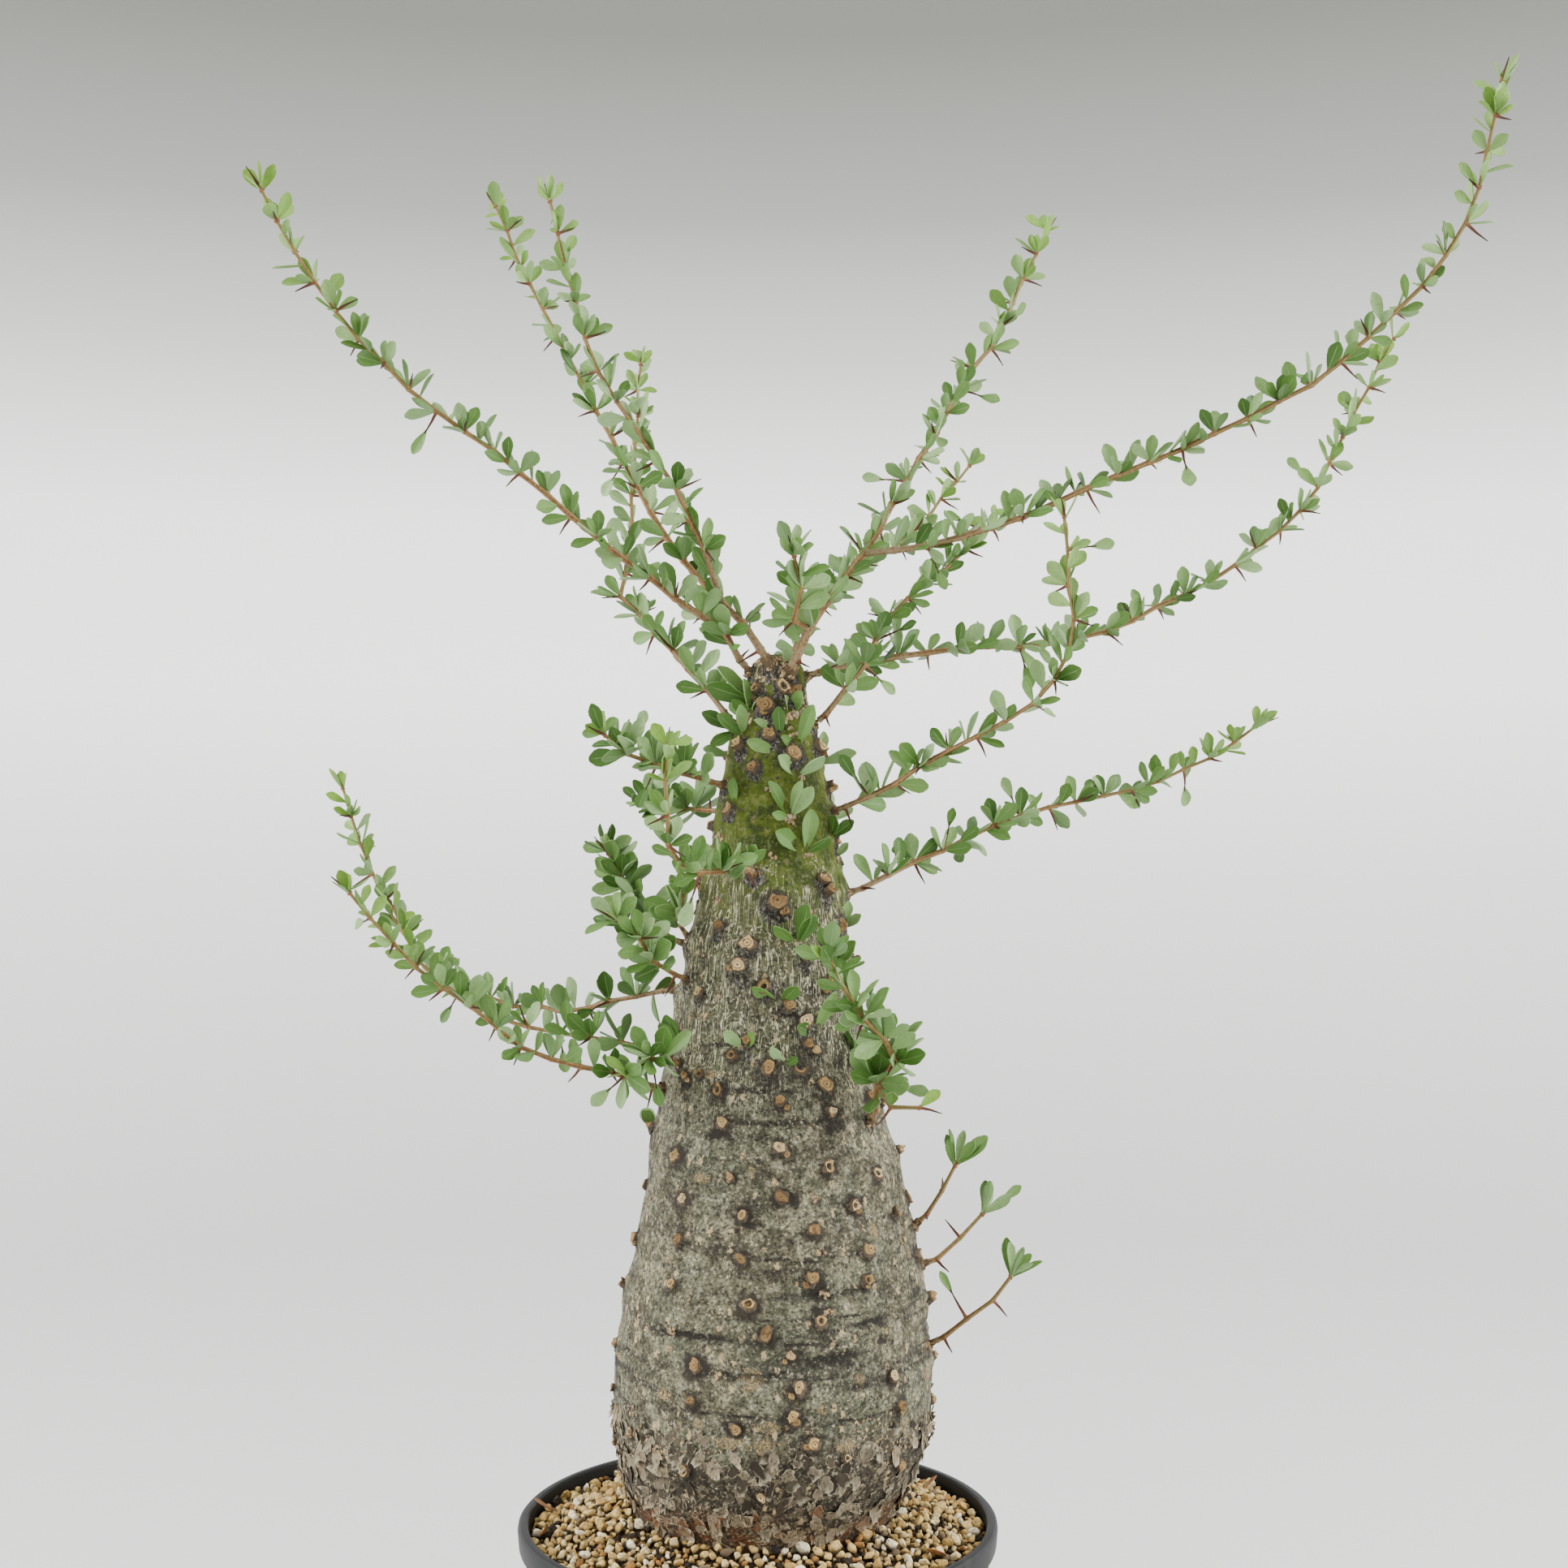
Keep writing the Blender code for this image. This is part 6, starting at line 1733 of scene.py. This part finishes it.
def crust_spots(chance):
    """(place, out, size) of every lump: in clusters over the trunk, and round each branch's and tuft's foot."""
    found = []
    for clusters, heights, *rest in CRUSTS:
        for _ in range(clusters):
            azimuth, height = chance.uniform(-180, 180), chance.uniform(*heights)
            found.extend(crust_cluster(azimuth, height, *rest, chance))
    for azimuth, height in [seen_on_trunk(*foot) for foot, _ in SPRIGS_SEEN] + [row[:2] for row in SPRIGS_BEHIND]:
        found.extend(crust_cluster(azimuth, height, *SPRIG_CRUSTS, chance))
    for branch, (root, direction, _) in zip(BRANCHES.values(), stubs):
        side, lift = frame_of(direction)
        for _ in range(FOOT_CRUSTS):
            a, reach = chance.uniform(0, math.tau), branch["radii"][0] * MM * chance.uniform(1.2, 2.1)
            around = side * math.cos(a) + lift * math.sin(a)
            found.append((root + around * reach + direction * chance.uniform(-0.8, 1.6) * MM, around, 0.95 * MM))
    return found


def make_crusts():
    shape, shape_faces = crust_shape()
    chance = random.Random("crusts")
    points, marks = [], []
    for place, out, size in crust_spots(chance):
        size *= chance.uniform(0.5, 1.4)
        turned = shape @ np.array(random_turn(chance)).T
        flat = turned * np.array([size * chance.uniform(1.0, 1.8), size, size * 0.5])
        points.append(flat @ stand_on(out, chance) + np.array(place + out * 0.15 * MM))
        # The second value is 1 on each lump's outward top, which the finish paints pale, partly as a highlight.
        height = turned[:, 2]
        marks.append(np.stack([np.full_like(height, chance.random()), height * 0.5 + 0.5, height * 0], axis=1))
    obj = mesh_of("cork_crusts", points, [shape_faces] * len(points), {"crust_place": np.concatenate(marks)})
    return finish_piece(obj, "cork_crusts", CORK, angle=30)


make_crusts()

# %% Flakes
FLAKES = 560
FLAKE_HEIGHTS = (0.2045, 0.262)
FLAKE_SIZES = ((4.0, 10.0), (5.0, 13.0), (1.5, 6.0))  # width, length and lift in mm
FLAKE_TILT = 0.85


def flake_shape():
    """A curled scrap of length 1 down from the origin and width 1 across, whose free end lifts along z."""
    bpy.ops.mesh.primitive_grid_add(x_subdivisions=4, y_subdivisions=5, size=2.0)
    flake = bpy.context.object
    for vertex in flake.data.vertices:
        across, down = vertex.co.x, (1 - vertex.co.y) / 2
        width = 0.5 * (0.50 + 1.1 * down - 1.25 * down**3)
        curl = 0.34 * down**3 + 0.22 * across**2 * (down - 0.35)
        vertex.co = (across * width, -down, curl)
    thick = flake.modifiers.new("thickness", "SOLIDIFY")
    thick.thickness = 0.040
    thick.offset = 0.0
    apply_all(flake)
    return taken_from(flake)


def make_flakes():
    shape, shape_faces = flake_shape()
    chance = random.Random("flakes")
    # How near each point is to the flake's rim, which the finish paints pale, partly as a highlight.
    edge = np.clip(np.maximum(np.abs(shape[:, 0]) * 2.2, -shape[:, 1]), 0, 1)
    points, marks = [], []
    for _ in range(FLAKES):
        azimuth, height = chance.uniform(-180, 180), chance.uniform(*FLAKE_HEIGHTS)
        place, out = on_trunk(azimuth, height)
        side, lift = frame_of(out)
        tilt = chance.gauss(0, FLAKE_TILT) + (math.pi if chance.random() < 0.35 else 0.0)
        upward = lift * math.cos(tilt) + side * math.sin(tilt)
        across = upward.cross(out)
        size = np.array([chance.triangular(low, high, low) for low, high in FLAKE_SIZES]) * MM
        turn = np.array([across[:], upward[:], out[:]])
        offset = Vector((chance.uniform(0, 99), 0, 0))
        ragged = np.array([noise.noise(Vector(p) * 2.6 + offset) for p in shape.tolist()])
        local = shape * (1 + 0.45 * ragged[:, None]) * size
        points.append(local @ turn + np.array(place + out * chance.uniform(-0.6, 0.3) * MM))
        shade = chance.random() * 0.85 if height > 0.224 else chance.uniform(0.5, 1.0)
        marks.append(np.stack([np.full_like(edge, shade), edge, edge * 0], axis=1))
    obj = mesh_of("bark_flakes", points, [shape_faces] * len(points), {"crust_place": np.concatenate(marks)})
    return finish_piece(obj, "bark_flakes", FLAKE, angle=40)


make_flakes()

# %% [markdown]
# ## Leaves
#
# The leaf is modelled once, from a small grid. Its outline is a narrow stalk that opens into an oval, widest past the
# middle. The edges curl up, the midrib lies in a groove, and a Solidify modifier gives it the thickness of a real,
# slightly fleshy blade. Each copy is then bent and turned to its own place.

# %% Model the leaf
LEAF_ACROSS = 4
LEAF_ALONG = 6
OUTLINE_ALONG = (0.0, 0.12, 0.29, 0.50, 0.735, 0.89, 1.0)
OUTLINE_WIDTH = (0.060, 0.110, 0.280, 0.435, 0.500, 0.430, 0.300)
TIP_ROUNDING = 0.035
LEAF_GROWTH = 1.10  # the branches' leaves are a little longer than those of the solid model
LEAF_SLIMNESS = (0.82, 1.12)


def leaf_shape():
    """A leaf of length 1 along y and width 1 along x, with its stalk's end at the origin."""
    bpy.ops.mesh.primitive_grid_add(x_subdivisions=LEAF_ACROSS, y_subdivisions=LEAF_ALONG, size=2.0)
    leaf = bpy.context.object
    for vertex in leaf.data.vertices:
        across, along = vertex.co.x, (vertex.co.y + 1) / 2
        step = round(along * LEAF_ALONG)
        width = OUTLINE_WIDTH[step]
        cup = 0.10 * width * across**2 - 0.018 * (1 - min(1.0, abs(across) * 2))
        rounded = TIP_ROUNDING * across**2 * max(0, step - LEAF_ALONG // 2)
        vertex.co = (across * width, OUTLINE_ALONG[step] - rounded, cup)
    thick = leaf.modifiers.new("thickness", "SOLIDIFY")
    thick.thickness = 0.032
    thick.offset = -1.0
    apply_all(leaf)
    return taken_from(leaf)


LEAF_POINTS, LEAF_FACES = leaf_shape()
UNDER = np.zeros(len(LEAF_POINTS))
UNDER[len(LEAF_POINTS) // 2:] = 1.0
print("one leaf has", len(LEAF_FACES), "faces")


def stamped_leaves(found, seed, growth=1.0):
    """Points, faces and attributes of a copy of the leaf for each of the leaves found."""
    chance = random.Random(seed)
    points, places, kinds = [], [], []
    across, along, lift = (LEAF_POINTS[:, k:k + 1] for k in range(3))
    for leaf in found:
        twist, slim = chance.uniform(-0.3, 0.3), chance.uniform(*LEAF_SLIMNESS)
        bend = leaf.curl * along**2 + lift + twist * across * along * 0.6
        points.append(
            np.array(leaf.base)
            + along * leaf.length * growth * np.array(leaf.direction)
            + across * slim * 2 * leaf.half_width * np.array(leaf.side)
            + bend * leaf.length * np.array(leaf.face)
        )
        ones = np.ones_like(along)
        young = max(0.0, leaf.age - 0.72) / 0.28 * chance.uniform(0.4, 1.0)
        places.append(np.hstack([across * 2, along, ones * chance.random()]))
        kinds.append(np.hstack([ones * young, UNDER[:, None], ones * 0]))
    marks = {"leaf_place": np.concatenate(places), "leaf_kind": np.concatenate(kinds)}
    return points, [LEAF_FACES] * len(found), marks


trunk_leaves = mesh_of("trunk_leaves", *stamped_leaves(leaves["trunk"], "trunk leaves"))
finish_piece(trunk_leaves, "trunk_leaves", LEAF, angle=50)

# %% Dry leaves on the gravel
DRY_LEAVES = ((-98, 0.103), (-82, 0.108), (62, 0.104), (118, 0.097), (160, 0.104), (-150, 0.099), (20, 0.106))


def make_dry_leaves():
    chance = random.Random("dry leaves")
    found = []
    for azimuth, radius in DRY_LEAVES:
        place = outward(azimuth) * radius + UP * (bed_height(radius) + 0.0040)
        direction = outward(chance.uniform(0, 360)) + 0.15 * UP
        face = UP + 0.6 * outward(chance.uniform(0, 360))
        found.append(Leaf(place, direction, face, chance.uniform(0.009, 0.013), chance.uniform(0.25, 0.45)))
    obj = mesh_of("dry_leaves", *stamped_leaves(found, "dry leaves"))
    return finish_piece(obj, "dry_leaves", DRY_LEAF, angle=50)


make_dry_leaves()

# %% [markdown]
# ## Branches
#
# A stem is a tube of rings, thicker at each node and thinner towards the tip. Its thorns are copies of one slim,
# slightly bent cone. Stem, thorns, buds and leaves become one mesh, which stands in for the branch's solid.

# %% Model the thorn


def thorn_shape():
    """A straight thorn of length 1 along z and radius 1, widened at its foot; stamped_thorn bends each copy a little.
    """
    bpy.ops.mesh.primitive_cone_add(vertices=5, radius1=1.0, radius2=0.24, depth=1.0, location=(0, 0, 0.5))
    thorn = bpy.context.object
    apply_all(thorn)
    bpy.ops.object.mode_set(mode="EDIT")
    for height in (0.12, 0.5):
        bpy.ops.mesh.select_all(action="SELECT")
        bpy.ops.mesh.bisect(plane_co=(0, 0, height), plane_no=(0, 0, 1))
    bpy.ops.object.mode_set(mode="OBJECT")
    points, faces = taken_from(thorn)
    near_base = points[:, 2] < 0.01
    points[near_base, :2] *= 1.7
    return points, faces


THORN_POINTS, THORN_FACES = thorn_shape()
THORN_RADIUS = 0.95 * MM


def stamped_thorn(point, end, chance):
    """Points of a copy of the thorn from point to end."""
    direction = (end - point).normalized()
    turn = stand_on(direction, chance)
    local = THORN_POINTS * np.array([THORN_RADIUS, THORN_RADIUS, (end - point).length])
    local[:, 0] += 0.35 * MM * np.sin(THORN_POINTS[:, 2] * math.pi)
    return local @ turn + np.array(point)


# %% Stems
RING = 10
KNUCKLES = ((0.0, 1.22), (0.10, 1.04), (0.5, 0.96), (0.90, 1.04))


def tube(points, radii):
    """Points and faces of a closed tube with RING sides, and how far round each point lies."""
    forward = (points[1] - points[0]).normalized()
    side, _ = frame_of(forward)
    rings = []
    for i, (point, radius) in enumerate(zip(points, radii)):
        turned = (points[min(i + 1, len(points) - 1)] - points[max(i - 1, 0)]).normalized()
        side = (forward.rotation_difference(turned) @ side).normalized()
        forward = turned
        lift = forward.cross(side)
        angles = [math.tau * k / RING for k in range(RING)]
        rings.append([(point + side * radius * math.cos(a) + lift * radius * math.sin(a))[:] for a in angles])
    faces = []
    for i in range(len(rings) - 1):
        for k in range(RING):
            a, b = i * RING + k, i * RING + (k + 1) % RING
            faces.append((a, b, b + RING, a + RING))
    faces.append(tuple(range(RING))[::-1])
    faces.append(tuple(range((len(rings) - 1) * RING, len(rings) * RING)))
    return np.array(rings).reshape(-1, 3), faces


def limb_tube(limb):
    """The fine tube of one limb, with a knuckle at every node and a dry, pinched tip."""
    points, radii, along = [], [], []
    count = len(limb) - 1
    for i, ((p, r), (q, s)) in enumerate(zip(limb, limb[1:])):
        for t, knuckle in KNUCKLES:
            points.append(p.lerp(q, t))
            radii.append((r + (s - r) * t) * (knuckle if i or t else 1.0))
            along.append((i + t) / count)
    points.append(limb[-1][0])
    radii.append(limb[-1][1] * 0.75)
    along.append(1.0)
    tube_points, tube_faces = tube(points, radii)
    share = np.repeat(along, RING)
    around = np.tile(np.arange(RING) / RING, len(points))
    return tube_points, tube_faces, np.stack([share, share * 0, around], axis=1)


BUD_POINTS, BUD_FACES = crust_shape()
TWIG_LEAF_SLIM = 0.68


def stem_parts(name):
    """The points, faces and stem_place values of a branch's limbs, thorns and the buds at its nodes."""
    chance = random.Random(f"{name} thorns")
    parts = [limb_tube(limb) for limb in limbs[name]]
    for point, end in spines[name]:
        ones = np.ones(len(THORN_POINTS))
        marks = np.stack([ones * 0.5, 0.06 + THORN_POINTS[:, 2] * 0.94, ones * 0], axis=1)
        parts.append((stamped_thorn(point, end, chance), THORN_FACES, marks))
    for number, point, out, _, _ in branch_tufts(name, BRANCHES[name], limbs[name]):
        limb = limbs[name][number // 100]
        radius = limb[number % 100][1]
        local = BUD_POINTS * radius * chance.uniform(0.6, 0.9) @ np.array(random_turn(chance)).T
        ones = np.ones(len(BUD_POINTS))
        marks = np.stack([ones * 0.5, ones * chance.uniform(0.0, 0.25), ones * 0.3], axis=1)
        parts.append((local + np.array(point + out * radius * 0.8), BUD_FACES, marks))
    return (list(group) for group in zip(*parts))


def make_branch(name):
    points, faces, marks = stem_parts(name)
    stem_marks = np.concatenate(marks)
    if BRANCHES[name].get("tip_only"):
        for leaf in leaves[name]:
            leaf.half_width *= TWIG_LEAF_SLIM
    leaf_points, leaf_faces, leaf_marks = stamped_leaves(leaves[name], f"{name} foliage", LEAF_GROWTH)
    no_leaf = np.zeros((len(stem_marks), 3))
    no_stem = np.zeros((sum(map(len, leaf_points)), 3))
    attributes = {"stem_place": np.concatenate([stem_marks, no_stem])}
    for label, values in leaf_marks.items():
        attributes[label] = np.concatenate([no_leaf, values])
    piece = mesh_of(f"{name}_foliage", points + leaf_points, faces + leaf_faces, attributes)
    finish_piece(piece, f"{name}_foliage", STEM_BARK, [name], 50, LEAF, sum(map(len, faces)))


for name in BRANCHES:
    make_branch(name)

# %% [markdown]
# ## Light and camera
#
# The tree stands in a seamless pale sweep: a floor that curves up into a wall all round. Its colour is pale paper with
# painted light in it: grey on the floor, brightest on the wall between about 0.7 and 1 metre up, and darker towards its
# top. The sweep also glows in the same colours, painted light that stands in for lamps on the paper. Large soft lamps
# stand on the left and on the right, so the trunk is brighter at its edges than in its middle, and one hangs above. The
# camera looks level, from just below the height of the crown.

# %% Stage
SWEEP_RADIUS = 2.5
SWEEP_HEIGHT = 3.0
SWEEP_GLOW = 0.85
# Pale paper with painted light: grey floor, brightest wall band about 0.7 to 1 metre up, darker above; it also glows.
PAPER_AND_PAINTED_LIGHT = ((0.0, (0.52, 0.525, 0.52)), (0.14, (0.70, 0.705, 0.70)), (0.24, (0.93, 0.935, 0.93)),
         (0.33, (0.91, 0.915, 0.91)), (0.42, (0.52, 0.525, 0.51)), (0.50, (0.29, 0.295, 0.28)),
         (0.60, (0.18, 0.185, 0.17)))


def make_sweep():
    bpy.ops.mesh.primitive_cylinder_add(
        vertices=96, radius=SWEEP_RADIUS, depth=SWEEP_HEIGHT, location=(0, 0, SWEEP_HEIGHT / 2)
    )
    sweep = bpy.context.object
    sweep.name = "backdrop"
    apply_all(sweep)
    bpy.ops.object.mode_set(mode="EDIT")
    bm = bmesh.from_edit_mesh(sweep.data)
    for face in bm.faces:
        face.select_set(face.calc_center_median().z > SWEEP_HEIGHT - 0.01)
    bmesh.update_edit_mesh(sweep.data)
    bpy.ops.mesh.delete(type="FACE")
    bpy.ops.object.mode_set(mode="OBJECT")
    curve = sweep.modifiers.new("curve", "BEVEL")
    curve.width = 0.8
    curve.segments = 16
    apply_all(sweep)
    bpy.ops.object.shade_smooth()
    made, shader, place = new_material("paper backdrop", 0.9, Emission_Strength=SWEEP_GLOW)
    colour = (axis(place, 2) * (1 / SWEEP_HEIGHT)).ramp(PAPER_AND_PAINTED_LIGHT)
    connect(shader, "Base Color", colour)
    connect(shader, "Emission Color", colour)
    made.cycles.emission_sampling = "NONE"
    sweep.data.materials.append(made)


def make_lamp(name, place, aim, size, power, colour):
    bpy.ops.object.light_add(type="AREA", location=place)
    lamp = bpy.context.object
    lamp.name = name
    lamp.data.shape = "SQUARE"
    lamp.data.size = size
    lamp.data.energy = power
    lamp.data.color = colour
    lamp.rotation_euler = (Vector(aim) - Vector(place)).to_track_quat("-Z", "Y").to_euler()
    lamp.visible_camera = False


make_sweep()
make_lamp("left_lamp", (-1.5, -0.18, 1.25), (0, 0, 0.42), 1.3, 50.0, (1.0, 0.98, 0.95))
make_lamp("right_lamp", (1.5, -0.08, 1.20), (0, 0, 0.42), 1.3, 52.0, (1.0, 0.98, 0.95))
make_lamp("top_lamp", (0.0, -0.2, 2.3), (0, 0.0, 0.4), 1.5, 28.0, (1.0, 0.99, 0.97))

world = bpy.data.worlds.new("studio")
world.use_nodes = True
world.node_tree.nodes["Background"].inputs["Color"].default_value = (0.95, 0.97, 1.0, 1.0)
world.node_tree.nodes["Background"].inputs["Strength"].default_value = 0.5
bpy.context.scene.world = world

# %% Camera
SENSOR = 36.0
FRAME_PIXELS = 1932
bpy.ops.object.camera_add(location=(EYE_ACROSS, -EYE_DISTANCE, EYE_HEIGHT), rotation=(math.radians(90), 0, 0))
camera = bpy.context.object
camera.name = "camera"
camera.data.sensor_width = SENSOR
camera.data.lens = SENSOR * EYE_DISTANCE / (PIXEL * FRAME_PIXELS)
bpy.context.scene.camera = camera
print("lens", round(camera.data.lens, 2), "mm")
